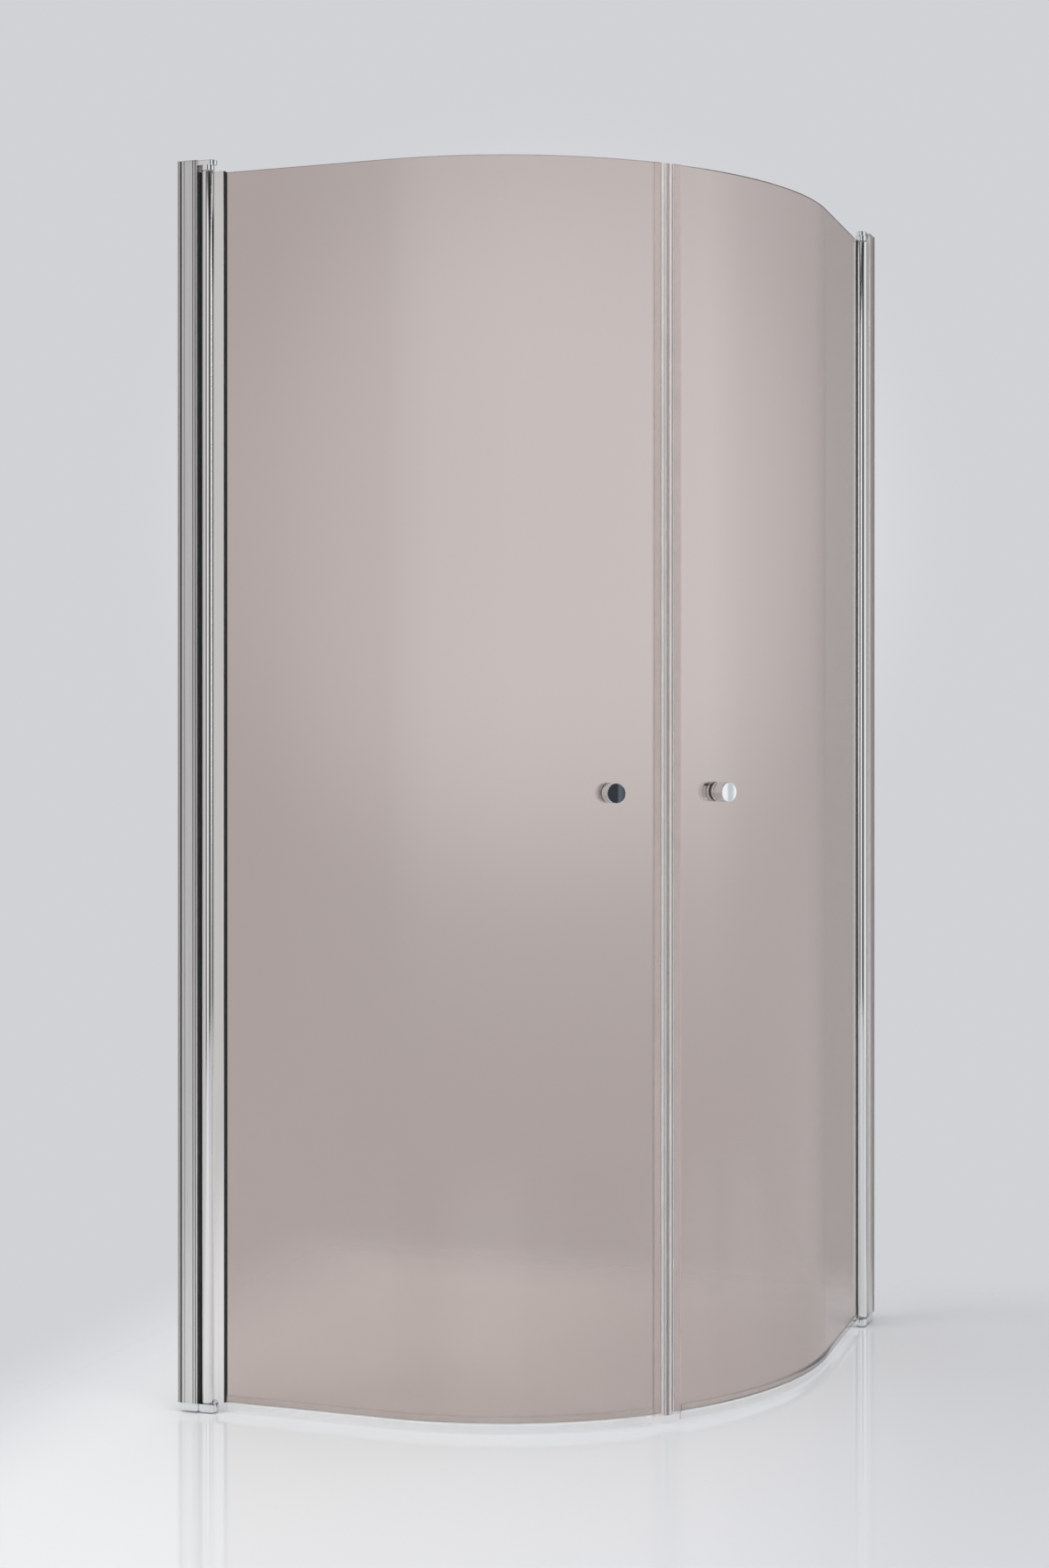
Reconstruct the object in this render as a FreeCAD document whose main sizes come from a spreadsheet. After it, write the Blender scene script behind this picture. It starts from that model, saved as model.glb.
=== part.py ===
import FreeCAD, Part
import math
import os
import re

import Sketcher
from FreeCAD import Placement, Rotation, Vector

# Quadrant shower enclosure with two curved swing doors, in millimetres.
#
# The object stands in a room corner. Its frame has its origin on the floor, in the middle of the
# square that the enclosure covers: +X runs along the back wall to the right, +Y runs to the back
# wall and +Z runs up. The left wall is at x = -overall_size / 2 and the back wall at
# y = +overall_size / 2. Every piece is drawn for the left half and mirrored over the diagonal of
# the square, which is the plane between the two closed doors.
#
# Three local frames are used for the left half:
#   wall frame   x away from the wall, y into the enclosure, y = 0 on the middle of the glass
#   hinge frame  the same directions, with the origin on the hinge axis
#   bend frame   the origin on the axis of the glass bend, turned about z so that -y points at
#                the piece (a knob, or the edge where the doors meet)

SIZES = {
    # enclosure
    "overall_size": 900,          # wall to the outer edge of the wall channel, both ways
    "overall_height": 1900,
    "glass_inset": 20,            # outer edge of the wall channel to the middle of the glass
    "bend_radius": 545,           # middle of the curved glass
    "glass_thickness": 6,
    "glass_recess": 1.5,          # glass ends this far inside the ends of the hinge profile
    # wall channel, which is screwed to the wall
    "channel_wall": 1.8,
    "channel_flange": 28.8,
    "leg_end_gap": 3.7,           # free edge of the legs to the front web of the profile
    "wall_hole": 5.5,
    "wall_hole_spacing": 800,
    "wall_screws": 3,
    # adjusting profile, which slides over the wall channel
    "profile_width": 26,
    "profile_wall": 1.8,
    "profile_depth": 24.5,
    "profile_offset": 5.6,        # middle of the profile outside the middle of the glass
    "profile_rounding": 1.5,
    "pull_out": 7,                # wall to the back edge of the profile
    "slide_clearance": 0.2,
    # screws that lock the profile on the channel, and their caps
    "lock_shank": 3.5,
    "lock_length": 8,
    "lock_head": 7,
    "lock_head_height": 2.2,
    "lock_spacing": 700,
    "lock_count": 3,
    "head_rounding": 0.7,
    "cap_wall": 1.2,
    "cap_clearance": 0.2,
    # hinge profile, a tube with a clamp for the glass
    "tube_diameter": 19.2,
    "tube_bore": 12,
    "tube_gap": 2.9,              # adjusting profile to the tube
    "hinge_offset": 5.6,          # hinge axis outside the middle of the glass
    "clamp_wall": 1.8,
    "clamp_base": 11,             # hinge axis to the floor of the glass slot
    "clamp_depth": 15.7,
    "clamp_rounding": 0.6,
    "gasket_thickness": 1,
    "gasket_lip": 2.6,            # gasket beyond the clamp
    # black seal between the adjusting profile and the tube
    "gap_seal_width": 14,
    "gap_seal_base": 1,
    "gap_seal_tip": 6,
    "seal_gap": 0.3,
    # brackets, pins and bushes
    "foot_height": 14,
    "foot_lift": 2,               # floor to the underside of the arm of the bottom bracket
    "foot_back": 2.5,             # wall to the back end of the bottom bracket
    "cup_width": 20.6,
    "cup_length": 34,
    "cup_reach": 16.7,            # hinge axis to the rounded end of the cup
    "cup_rounding": 5,
    "root_start": 10,             # wall to the block inside the profile
    "root_height": 36,
    "root_clearance": 0.2,
    "arm_thickness": 7.4,
    "arm_width": 16.6,
    "arm_reach": 15,              # hinge axis to the rounded end of the top arm
    "boss_height": 8,
    "boss_length": 21,
    "notch_clearance": 0.2,
    "head_gap": 0.6,              # top bush to the top bracket
    "pin_diameter": 8,
    "pin_clearance": 0.05,
    "pin_grip": 11,
    "pin_reach": 27,
    "bush_length": 32,
    "bush_flange": 1,
    "bush_flange_diameter": 16,
    "washer_thickness": 0.8,
    "running_gap": 0.1,
    "bracket_screw": 4,
    "bracket_screw_length": 14,
    "bracket_head": 7.6,
    "bracket_head_height": 2.4,
    "bracket_screw_setback": 22,  # end of the profile to the screw
    "screw_hole_clearance": 0.2,
    # seal with a magnet along each meeting edge
    "joint_gap": 0.25,            # each seal to the plane between the doors
    "nose_length": 10.25,
    "seal_grip": 12.5,            # seal over the glass
    "seal_wall": 1.1,
    "magnet_depth": 2.5,
    "seal_rise": 4,               # seal below the glass
    # sweep seal under each door
    "sweep_wall": 1.2,
    "sweep_grip": 9.5,
    "sweep_floor_gap": 4,
    "sweep_lip": 1.2,
    "sweep_fin": 5,
    "sweep_start_gap": 0.5,
    "sweep_end_gap": 0.3,
    # knobs
    "knob_height": 943,
    "knob_setback": 92,           # along the glass, from the plane between the doors
    "knob_diameter": 30,
    "knob_length": 25,
    "knob_collar": 5,
    "knob_groove": 1.6,
    "knob_groove_depth": 1.2,
    "knob_rounding": 1,
    "stud_diameter": 8,
    "stud_depth": 12,
    "glass_hole": 12,
    "knob_washer_diameter": 24,
    "knob_washer_thickness": 0.8,
    "stud_clearance": 0.1,
}

# Places that follow from the sizes. The meeting edge of each door is the diagonal of the square.
PLACES = {
    "wall_x": "-overall_size / 2",
    "line_y": "glass_inset - overall_size / 2",
    "straight": "overall_size - glass_inset - bend_radius",
    "bend_x": "wall_x + straight",
    "bend_y": "line_y + bend_radius",
    "half_bend": "45",
    # legs of the two wall pieces, in the wall frame
    "outer_face": "-profile_offset - profile_width / 2",
    "inner_face": "profile_width / 2 - profile_offset",
    "leg_half": "profile_width / 2 - profile_wall - slide_clearance",
    "hollow_half": "leg_half - channel_wall",
    "profile_front": "pull_out + profile_depth",
    "web_back": "profile_front - profile_wall",
    "leg_end": "web_back - leg_end_gap",
    "screw_from_wall": "(pull_out + leg_end) / 2",
    # hinge axis
    "axis_from_wall": "profile_front + tube_gap + tube_diameter / 2",
    "axis_x": "wall_x + axis_from_wall",
    "axis_y": "line_y - hinge_offset",
    # heights
    "top_arm": "overall_height - arm_thickness",
    "boss_bottom": "top_arm - boss_height",
    "tube_top": "boss_bottom - head_gap - bush_flange",
    "tube_bottom": "foot_height + washer_thickness + running_gap + bush_flange",
    "glass_top": "tube_top - glass_recess",
    "glass_bottom": "tube_bottom + glass_recess",
    "middle_height": "(overall_height + foot_height) / 2",
    "lowest_wall_hole": "middle_height - wall_hole_spacing * (wall_screws - 1) / 2",
    "lowest_lock": "middle_height - lock_spacing * (lock_count - 1) / 2",
    "top_screw": "overall_height - bracket_screw_setback",
    "bottom_screw": "foot_height + bracket_screw_setback",
    # glass
    "glass_half": "glass_thickness / 2",
    "slot_half": "glass_half + gasket_thickness",
    "clamp_half": "slot_half + clamp_wall",
    "clamp_end": "clamp_base + clamp_depth",
    "glass_start": "axis_from_wall + clamp_base + gasket_thickness",
    "degrees_per_mm": "180 / pi / bend_radius",
    "glass_bend": "half_bend - (joint_gap + nose_length) * degrees_per_mm",
    "sweep_bend": "glass_bend - (seal_grip + sweep_end_gap) * degrees_per_mm",
    "knob_turn": "half_bend - knob_setback * degrees_per_mm",
    # seats of the knob washers, measured from the axis of the bend
    "outer_seat": "bend_radius + glass_half",
    "inner_seat": "sqrt((bend_radius - glass_half)^2 - (knob_washer_diameter / 2)^2)",
    "pin_bore": "pin_diameter + 2 * pin_clearance",
}

document = FreeCAD.newDocument("QuadrantEnclosure")


def qualified(expression):
    """Return the expression with the sheet's name put before each size and place."""
    def with_sheet(match):
        word = match.group(0)
        if word in SIZES:
            return "Sizes." + word
        if word in PLACES:
            return "Places." + word
        return word
    return re.sub(r"[a-z_]+", with_sheet, expression)


def fill_sheet(name, contents):
    """Make one sheet: a name in column A and its value, with the name as alias, in column B."""
    sheet = document.addObject("Spreadsheet::Sheet", name)
    for row, (alias, content) in enumerate(contents.items(), start=1):
        sheet.set(f"A{row}", alias)
        sheet.setAlias(f"B{row}", alias)
        sheet.set(f"B{row}", content)
    return sheet


fill_sheet("Sizes", {alias: str(size) for alias, size in SIZES.items()})
places = fill_sheet("Places", {alias: "=" + qualified(text).replace("Places.", "")
                               for alias, text in PLACES.items()})
document.recompute()


def value(expression):
    """Work an expression out from the sheets."""
    return float(places.evalExpression(qualified(expression).replace("Places.", "")))


# ---------------------------------------------------------------- sketches

def new_sketch(body, name, plane="XY_Plane", lift=None):
    """Start a sketch on one of the body's own origin planes, lifted along its normal."""
    sketch = body.newObject("Sketcher::SketchObject", f"{body.Name}_{name}")
    support = next(item for item in body.Origin.OriginFeatures if item.Role == plane)
    sketch.AttachmentSupport = [(support, "")]
    sketch.MapMode = "FlatFace"
    if lift:
        sketch.setExpression(".AttachmentOffset.Base.z", qualified(lift))
    return sketch


def constrain(sketch, kind, elements, expression):
    """Add a dimension to the sketch and bind it to an expression."""
    start = value(expression)
    if kind == "Angle":
        start = math.radians(start)
    index = sketch.addConstraint(Sketcher.Constraint(kind, *elements, start))
    sketch.setExpression(f"Constraints[{index}]", qualified(expression))


def pin_point(sketch, geometry, point, x, y):
    """Dimension one point of a curve from the sketch's origin."""
    constrain(sketch, "DistanceX", (-1, 1, geometry, point), x)
    constrain(sketch, "DistanceY", (-1, 1, geometry, point), y)


def round_corner(sketch, corner, before, after, spot, ways, radius):
    """Join two lines by a tangent arc, with their crossing dimensioned as a point."""
    x, y, rounding = corner
    to_before, to_after = ways
    half_angle = to_before.getAngle(to_after) / 2
    middle = spot + (to_before + to_after).normalize() * (radius / math.sin(half_angle))
    trim = radius / math.tan(half_angle)
    ends = [spot + to_before * trim, spot + to_after * trim]
    turns_left = to_before.cross(to_after).z < 0
    if not turns_left:
        ends.reverse()
    angles = [math.atan2(end.y - middle.y, end.x - middle.x) for end in ends]
    circle = Part.Circle(middle, Vector(0, 0, 1), radius)
    arc = sketch.addGeometry(Part.ArcOfCircle(circle, *angles))
    arrive, leave = (1, 2) if turns_left else (2, 1)
    sketch.addConstraint(Sketcher.Constraint("Tangent", before, 2, arc, arrive))
    sketch.addConstraint(Sketcher.Constraint("Tangent", after, 1, arc, leave))
    crossing = sketch.addGeometry(Part.Point(spot), True)
    sketch.addConstraint(Sketcher.Constraint("PointOnObject", crossing, 1, before))
    sketch.addConstraint(Sketcher.Constraint("PointOnObject", crossing, 1, after))
    pin_point(sketch, crossing, 1, x, y)
    constrain(sketch, "Radius", (arc,), rounding)


def draw_outline(sketch, corners):
    """Draw a closed outline; a corner is (x, y), or (x, y, radius) where it is rounded."""
    spots = [Vector(value(corner[0]), value(corner[1]), 0) for corner in corners]
    radii = [value(corner[2]) if len(corner) == 3 else 0 for corner in corners]
    count = len(corners)
    leaving = []
    arriving = []
    ways = []
    for index, spot in enumerate(spots):
        to_before = (spots[index - 1] - spot).normalize()
        to_after = (spots[(index + 1) % count] - spot).normalize()
        trim = radii[index] / math.tan(to_before.getAngle(to_after) / 2)
        ways.append((to_before, to_after))
        arriving.append(spot + to_before * trim)
        leaving.append(spot + to_after * trim)
    lines = [sketch.addGeometry(Part.LineSegment(leaving[index], arriving[(index + 1) % count]))
             for index in range(count)]
    for index, corner in enumerate(corners):
        before = lines[index - 1]
        after = lines[index]
        if radii[index]:
            round_corner(sketch, corner, before, after, spots[index], ways[index], radii[index])
        else:
            sketch.addConstraint(Sketcher.Constraint("Coincident", before, 2, after, 1))
            pin_point(sketch, after, 1, corner[0], corner[1])


def draw_circle(sketch, x, y, diameter):
    """Draw a circle with a dimensioned centre and diameter."""
    centre = Vector(value(x), value(y), 0)
    circle = sketch.addGeometry(Part.Circle(centre, Vector(0, 0, 1), value(diameter) / 2))
    pin_point(sketch, circle, 3, x, y)
    constrain(sketch, "Diameter", (circle,), diameter)


def draw_slot(sketch, low, high, width):
    """Draw two half circles about (low, 0) and (high, 0), joined by two lines along x."""
    radius = value(width) / 2
    ends = []
    for centre, start in ((low, math.pi / 2), (high, -math.pi / 2)):
        circle = Part.Circle(Vector(value(centre), 0, 0), Vector(0, 0, 1), radius)
        end = sketch.addGeometry(Part.ArcOfCircle(circle, start, start + math.pi))
        pin_point(sketch, end, 3, centre, "0")
        ends.append(end)
    sides = []
    for reach, start, stop in ((radius, high, low), (-radius, low, high)):
        line = Part.LineSegment(Vector(value(start), reach, 0), Vector(value(stop), reach, 0))
        sides.append(sketch.addGeometry(line))
    loop = [sides[0], ends[0], sides[1], ends[1]]
    for before, after in zip(loop, loop[1:] + loop[:1]):
        sketch.addConstraint(Sketcher.Constraint("Tangent", before, 2, after, 1))
    sketch.addConstraint(Sketcher.Constraint("Equal", *ends))
    constrain(sketch, "Radius", (ends[0],), f"{width} / 2")


def draw_sector(sketch, inner, outer, start, end):
    """Draw a piece of a ring about the origin, between two radii and two angles in degrees."""
    arcs = []
    for radius in (inner, outer):
        circle = Part.Circle(Vector(0, 0, 0), Vector(0, 0, 1), value(radius))
        angles = [math.radians(value(angle)) for angle in (start, end)]
        arc = sketch.addGeometry(Part.ArcOfCircle(circle, *angles))
        sketch.addConstraint(Sketcher.Constraint("Coincident", arc, 3, -1, 1))
        constrain(sketch, "Radius", (arc,), radius)
        arcs.append(arc)
    for point, angle in ((1, start), (2, end)):
        way = Vector(math.cos(math.radians(value(angle))), math.sin(math.radians(value(angle))), 0)
        line = sketch.addGeometry(Part.LineSegment(way * value(inner), way * value(outer)))
        sketch.addConstraint(Sketcher.Constraint("Coincident", line, 1, arcs[0], point))
        sketch.addConstraint(Sketcher.Constraint("Coincident", line, 2, arcs[1], point))
        sketch.addConstraint(Sketcher.Constraint("PointOnObject", -1, 1, line))
        constrain(sketch, "Angle", (line,), angle)


# ---------------------------------------------------------------- features

def new_body(name, x, y, z="0", turn=None):
    """Start a body with its frame at x, y, z, turned about z by an angle in degrees."""
    body = document.addObject("PartDesign::Body", name)
    body.AllowCompound = True
    body.Placement = Placement(Vector(0, 0, 0), Rotation(Vector(0, 0, 1), 1 if turn else 0))
    for axis, place in zip("xyz", (x, y, z)):
        body.setExpression(f".Placement.Base.{axis}", qualified(place))
    if turn:
        body.setExpression(".Placement.Rotation.Angle", qualified(turn))
    return body


def wall_body(name):
    return new_body(name, "wall_x", "line_y")


def hinge_body(name):
    return new_body(name, "axis_x", "axis_y")


def knob_body(name):
    return new_body(name, "bend_x", "bend_y", "knob_height", "knob_turn")


def pad(body, sketch, length, backwards=False):
    """Add material along the sketch's normal, or against it."""
    feature = body.newObject("PartDesign::Pad", f"{sketch.Name}_pad")
    feature.Profile = sketch
    feature.Reversed = backwards
    feature.setExpression("Length", qualified(length))
    document.recompute()
    return feature


def pocket(body, sketch, length, along_normal):
    """Cut along the sketch's normal, or against it, and make sure that something was cut."""
    volume = body.Shape.Volume
    feature = body.newObject("PartDesign::Pocket", f"{sketch.Name}_cut")
    feature.Profile = sketch
    feature.Reversed = along_normal
    feature.setExpression("Length", qualified(length))
    document.recompute()
    if not body.Shape.Volume < volume:
        raise RuntimeError(f"{feature.Name} cuts nothing")
    return feature


def revolve(body, sketch, axis="V_Axis", angle="360"):
    """Turn the sketch about one of its axes by an angle in degrees."""
    feature = body.newObject("PartDesign::Revolution", f"{sketch.Name}_turned")
    feature.Profile = sketch
    feature.ReferenceAxis = (sketch, [axis])
    feature.setExpression("Angle", qualified(angle))
    document.recompute()
    return feature


def turn_about(body, sketch, x, y, angle):
    """Turn the sketch about an upright line of its own through x, y."""
    foot = Vector(value(x), value(y), 0)
    axis = sketch.addGeometry(Part.LineSegment(foot, foot + Vector(0, 1, 0)), True)
    sketch.addConstraint(Sketcher.Constraint("Vertical", axis))
    pin_point(sketch, axis, 1, x, y)
    constrain(sketch, "DistanceY", (axis, 1, axis, 2), "1")
    return revolve(body, sketch, "Axis0", angle)


def row(body, feature, spacing, count):
    """Repeat a feature up the z axis."""
    pattern = body.newObject("PartDesign::LinearPattern", f"{feature.Name}_row")
    pattern.Originals = [feature]
    axis = next(item for item in body.Origin.OriginFeatures if item.Role == "Z_Axis")
    pattern.Direction = (axis, [""])
    pattern.setExpression("Length", qualified(f"{spacing} * ({count} - 1)"))
    pattern.setExpression("Occurrences", qualified(count))
    body.Tip = pattern
    document.recompute()
    return pattern


def padded_piece(body, corners, bottom, top):
    """Extrude one outline from one height to another."""
    sketch = new_sketch(body, "section", lift=bottom)
    draw_outline(sketch, corners)
    pad(body, sketch, f"{top} - ({bottom})")
    return body


def turned_piece(body, corners, plane):
    """Turn one outline about the body's own axis."""
    sketch = new_sketch(body, "outline", plane)
    draw_outline(sketch, corners)
    revolve(body, sketch)
    return body


def group(name, pieces):
    """Keep separate solids together in one node."""
    compound = document.addObject("Part::Compound", name)
    compound.Links = pieces
    document.recompute()
    return compound


def along_glass(body, corners, start, bend):
    """Run a section along the straight glass from start, and on round the bend."""
    sketch = new_sketch(body, "section", "YZ_Plane", "straight")
    draw_outline(sketch, corners)
    pad(body, sketch, f"straight - ({start})", backwards=True)
    turn_about(body, sketch, "bend_radius", corners[0][1], bend)
    return body


# ---------------------------------------------------------------- wall side

def wall_channel():
    """U channel against the wall, with a flange on both edges and a row of screw holes."""
    body = wall_body("left_wall_channel")
    edge = "channel_flange / 2"
    padded_piece(body, [
        ("0", f"-profile_offset - {edge}"),
        ("channel_wall", f"-profile_offset - {edge}"),
        ("channel_wall", "-profile_offset - leg_half"),
        ("leg_end", "-profile_offset - leg_half"),
        ("leg_end", "-profile_offset - hollow_half"),
        ("channel_wall", "-profile_offset - hollow_half"),
        ("channel_wall", "hollow_half - profile_offset"),
        ("leg_end", "hollow_half - profile_offset"),
        ("leg_end", "leg_half - profile_offset"),
        ("channel_wall", "leg_half - profile_offset"),
        ("channel_wall", f"{edge} - profile_offset"),
        ("0", f"{edge} - profile_offset"),
    ], "foot_height", "overall_height")
    holes = new_sketch(body, "wall_hole", "YZ_Plane")
    draw_circle(holes, "-profile_offset", "lowest_wall_hole", "wall_hole")
    row(body, pocket(body, holes, "channel_wall", True), "wall_hole_spacing", "wall_screws")
    leg_holes(body, "lock_shank", "bracket_screw + 2 * screw_hole_clearance")
    return body


def leg_holes(body, lock_hole, bracket_hole):
    """Cut the holes for the lock screws and the bracket screws in the leg inside the room."""
    locks = new_sketch(body, "lock_hole", "XZ_Plane")
    draw_circle(locks, "screw_from_wall", "lowest_lock", lock_hole)
    row(body, pocket(body, locks, "profile_width / 2", False), "lock_spacing", "lock_count")
    ends = new_sketch(body, "bracket_hole", "XZ_Plane")
    draw_circle(ends, "screw_from_wall", "bottom_screw", bracket_hole)
    draw_circle(ends, "screw_from_wall", "top_screw", bracket_hole)
    pocket(body, ends, "profile_width / 2", False)


def adjusting_profile():
    """Profile that slides over the channel: two legs and a front web with rounded corners."""
    body = wall_body("left_adjusting_profile")
    padded_piece(body, [
        ("pull_out", "outer_face"),
        ("profile_front", "outer_face", "profile_rounding"),
        ("profile_front", "inner_face", "profile_rounding"),
        ("pull_out", "inner_face"),
        ("pull_out", "inner_face - profile_wall"),
        ("web_back", "inner_face - profile_wall"),
        ("web_back", "outer_face + profile_wall"),
        ("pull_out", "outer_face + profile_wall"),
    ], "foot_height", "overall_height")
    notch = new_sketch(body, "arm_notch", lift="top_arm - notch_clearance")
    half_notch = "(arm_width / 2 + notch_clearance)"
    draw_outline(notch, [
        ("leg_end", f"-hinge_offset - {half_notch}"),
        ("profile_front + profile_wall", f"-hinge_offset - {half_notch}"),
        ("profile_front + profile_wall", f"{half_notch} - hinge_offset"),
        ("leg_end", f"{half_notch} - hinge_offset"),
    ])
    pocket(body, notch, "arm_thickness + notch_clearance", True)
    leg_holes(body, "lock_shank + 2 * screw_hole_clearance",
              "bracket_screw + 2 * screw_hole_clearance")
    return body


def screw_outline(head, height, shank, length):
    """Outline of a screw along +y, with the underside of its head at y = 0."""
    return [
        ("0", height),
        (f"{head} / 2", height, "head_rounding"),
        (f"{head} / 2", "0"),
        (f"{shank} / 2", "0"),
        (f"{shank} / 2", f"-{length}"),
        ("0", f"-{length}"),
    ]


def lock_body(name):
    return new_body(name, "wall_x + screw_from_wall", "line_y + inner_face", "lowest_lock")


def lock_screws():
    """Row of screws that hold the adjusting profile on the channel."""
    body = lock_body("left_lock_screws")
    sketch = new_sketch(body, "outline")
    draw_outline(sketch, screw_outline("lock_head", "lock_head_height", "lock_shank",
                                       "lock_length"))
    row(body, revolve(body, sketch), "lock_spacing", "lock_count")
    return body


def lock_screw_caps():
    """Row of caps over the heads of the lock screws."""
    body = lock_body("left_lock_screw_caps")
    inside = "lock_head / 2 + cap_clearance"
    depth = "lock_head_height + cap_clearance"
    sketch = new_sketch(body, "outline")
    draw_outline(sketch, [
        (inside, "0"),
        (f"{inside} + cap_wall", "0"),
        (f"{inside} + cap_wall", f"{depth} + cap_wall", "cap_wall"),
        ("0", f"{depth} + cap_wall"),
        ("0", depth),
        (inside, depth),
    ])
    row(body, revolve(body, sketch), "lock_spacing", "lock_count")
    return body


def gap_seal():
    """Black seal on the front web, with its tip close to the hinge tube."""
    tip = "axis_from_wall - tube_diameter / 2 - seal_gap"
    shoulder = "profile_front + gap_seal_base"
    return padded_piece(wall_body("left_gap_seal"), [
        ("profile_front", "-hinge_offset - gap_seal_width / 2"),
        (shoulder, "-hinge_offset - gap_seal_width / 2"),
        (tip, "-hinge_offset - gap_seal_tip / 2"),
        (tip, "gap_seal_tip / 2 - hinge_offset"),
        (shoulder, "gap_seal_width / 2 - hinge_offset"),
        ("profile_front", "gap_seal_width / 2 - hinge_offset"),
    ], "foot_height", "tube_top")


def root_corners():
    """Block that fills the hollow of the wall channel, in the hinge frame."""
    middle = "hinge_offset - profile_offset"
    back = "root_start - axis_from_wall"
    front = "web_back - root_clearance - axis_from_wall"
    return [
        (back, f"{middle} - hollow_half + root_clearance"),
        (front, f"{middle} - hollow_half + root_clearance"),
        (front, f"{middle} + hollow_half - root_clearance"),
        (back, f"{middle} + hollow_half - root_clearance"),
    ]


def screw_bore(body, height):
    """Drill a bracket's block for its screw, from inside the enclosure."""
    face = "hinge_offset - profile_offset + hollow_half - root_clearance"
    drill = new_sketch(body, "screw_bore", "XZ_Plane", f"-({face})")
    draw_circle(drill, "screw_from_wall - axis_from_wall", height, "bracket_screw")
    pocket(body, drill, "bracket_screw_length", True)


def top_bracket():
    """Arm over the hinge tube, with a block inside the profile and a boss round the pin."""
    body = hinge_body("left_top_bracket")
    root = new_sketch(body, "root", lift="overall_height - root_height")
    draw_outline(root, root_corners())
    pad(body, root, "root_height")
    arm = new_sketch(body, "arm", lift="top_arm")
    near = "leg_end + notch_clearance - axis_from_wall"
    draw_outline(arm, [
        (near, "-arm_width / 2"),
        ("0", "-arm_width / 2"),
        ("0", "arm_width / 2"),
        (near, "arm_width / 2"),
    ])
    pad(body, arm, "arm_thickness")
    tip = new_sketch(body, "arm_tip", lift="top_arm")
    draw_slot(tip, "0", "arm_reach - arm_width / 2", "arm_width")
    pad(body, tip, "arm_thickness")
    boss = new_sketch(body, "boss", lift="boss_bottom")
    draw_slot(boss, "(arm_width - boss_length) / 2", "(boss_length - arm_width) / 2", "arm_width")
    pad(body, boss, "boss_height")
    bore = new_sketch(body, "pin_bore", lift="boss_bottom")
    draw_circle(bore, "0", "0", "pin_diameter")
    pocket(body, bore, "pin_grip", True)
    screw_bore(body, "top_screw")
    return body


def foot_cup(body):
    """Long cup with a rounded lower edge: a straight middle and two turned ends."""
    half = "cup_width / 2"
    back = "(cup_reach - cup_length + cup_width / 2)"
    middle = new_sketch(body, "cup", "YZ_Plane", back)
    draw_outline(middle, [
        (f"-{half}", "0", "cup_rounding"),
        (half, "0", "cup_rounding"),
        (half, "foot_height"),
        (f"-{half}", "foot_height"),
    ])
    pad(body, middle, "cup_length - cup_width")
    for name, centre in (("cup_back", back), ("cup_front", "cup_reach - cup_width / 2")):
        end = new_sketch(body, name, "XZ_Plane")
        draw_outline(end, [
            (centre, "0"),
            (f"{centre} + {half}", "0", "cup_rounding"),
            (f"{centre} + {half}", "foot_height"),
            (centre, "foot_height"),
        ])
        turn_about(body, end, centre, "0", "360")


def bottom_bracket():
    """Foot under the profiles, with a rounded cup under the tube and a block in the profile."""
    body = hinge_body("left_bottom_bracket")
    foot_cup(body)
    arm = new_sketch(body, "arm", lift="foot_lift")
    back = "foot_back - axis_from_wall"
    front = "profile_front - axis_from_wall"
    outside = "hinge_offset + outer_face + profile_wall"
    inside = "hinge_offset + inner_face - profile_wall"
    draw_outline(arm, [(back, outside), (front, outside), (front, inside), (back, inside)])
    pad(body, arm, "foot_height - foot_lift")
    root = new_sketch(body, "root", lift="foot_height")
    draw_outline(root, root_corners())
    pad(body, root, "root_height")
    bore = new_sketch(body, "pin_bore", lift="foot_height")
    draw_circle(bore, "0", "0", "pin_diameter")
    pocket(body, bore, "pin_grip", False)
    screw_bore(body, "bottom_screw")
    return body


def bracket_screw(name, height):
    """Screw through both legs into a bracket's block."""
    body = new_body(name, "wall_x + screw_from_wall", "line_y + inner_face", height)
    return turned_piece(body, screw_outline("bracket_head", "bracket_head_height",
                                            "bracket_screw", "bracket_screw_length"), "XY_Plane")


def pin(name, low, high):
    """Hinge pin, pressed into a bracket."""
    return turned_piece(hinge_body(name), [
        ("0", low),
        ("pin_diameter / 2", low),
        ("pin_diameter / 2", high),
        ("0", high),
    ], "XZ_Plane")


def ring_corners(bore, diameter, low, high):
    """Outline of a flat ring."""
    return [
        (f"{bore} / 2", low),
        (f"{diameter} / 2", low),
        (f"{diameter} / 2", high),
        (f"{bore} / 2", high),
    ]


def thrust_washer():
    """Washer on the bottom bracket, which carries the door."""
    return turned_piece(hinge_body("left_thrust_washer"), ring_corners(
        "pin_bore", "bush_flange_diameter", "foot_height",
        "foot_height + washer_thickness"), "XZ_Plane")


# ---------------------------------------------------------------- door side

def hinge_profile():
    """Tube on the hinge axis with a clamp for the edge of the glass."""
    body = hinge_body("left_hinge_profile")
    length = "tube_top - tube_bottom"
    tube = new_sketch(body, "tube", lift="tube_bottom")
    draw_circle(tube, "0", "0", "tube_diameter")
    pad(body, tube, length)
    clamp = new_sketch(body, "clamp", lift="tube_bottom")
    inner = "hinge_offset + clamp_half"
    outer = "hinge_offset - clamp_half"
    draw_outline(clamp, [
        ("0", "tube_diameter / 2 - clamp_wall"),
        ("clamp_base - clamp_wall", inner),
        ("clamp_end", inner, "clamp_rounding"),
        ("clamp_end", "hinge_offset + slot_half"),
        ("clamp_base", "hinge_offset + slot_half"),
        ("clamp_base", "hinge_offset - slot_half"),
        ("clamp_end", "hinge_offset - slot_half"),
        ("clamp_end", outer, "clamp_rounding"),
        ("0", outer),
    ])
    pad(body, clamp, length)
    bore = new_sketch(body, "bore", lift="tube_bottom")
    draw_circle(bore, "0", "0", "tube_bore")
    pocket(body, bore, length, True)
    return body


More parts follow.
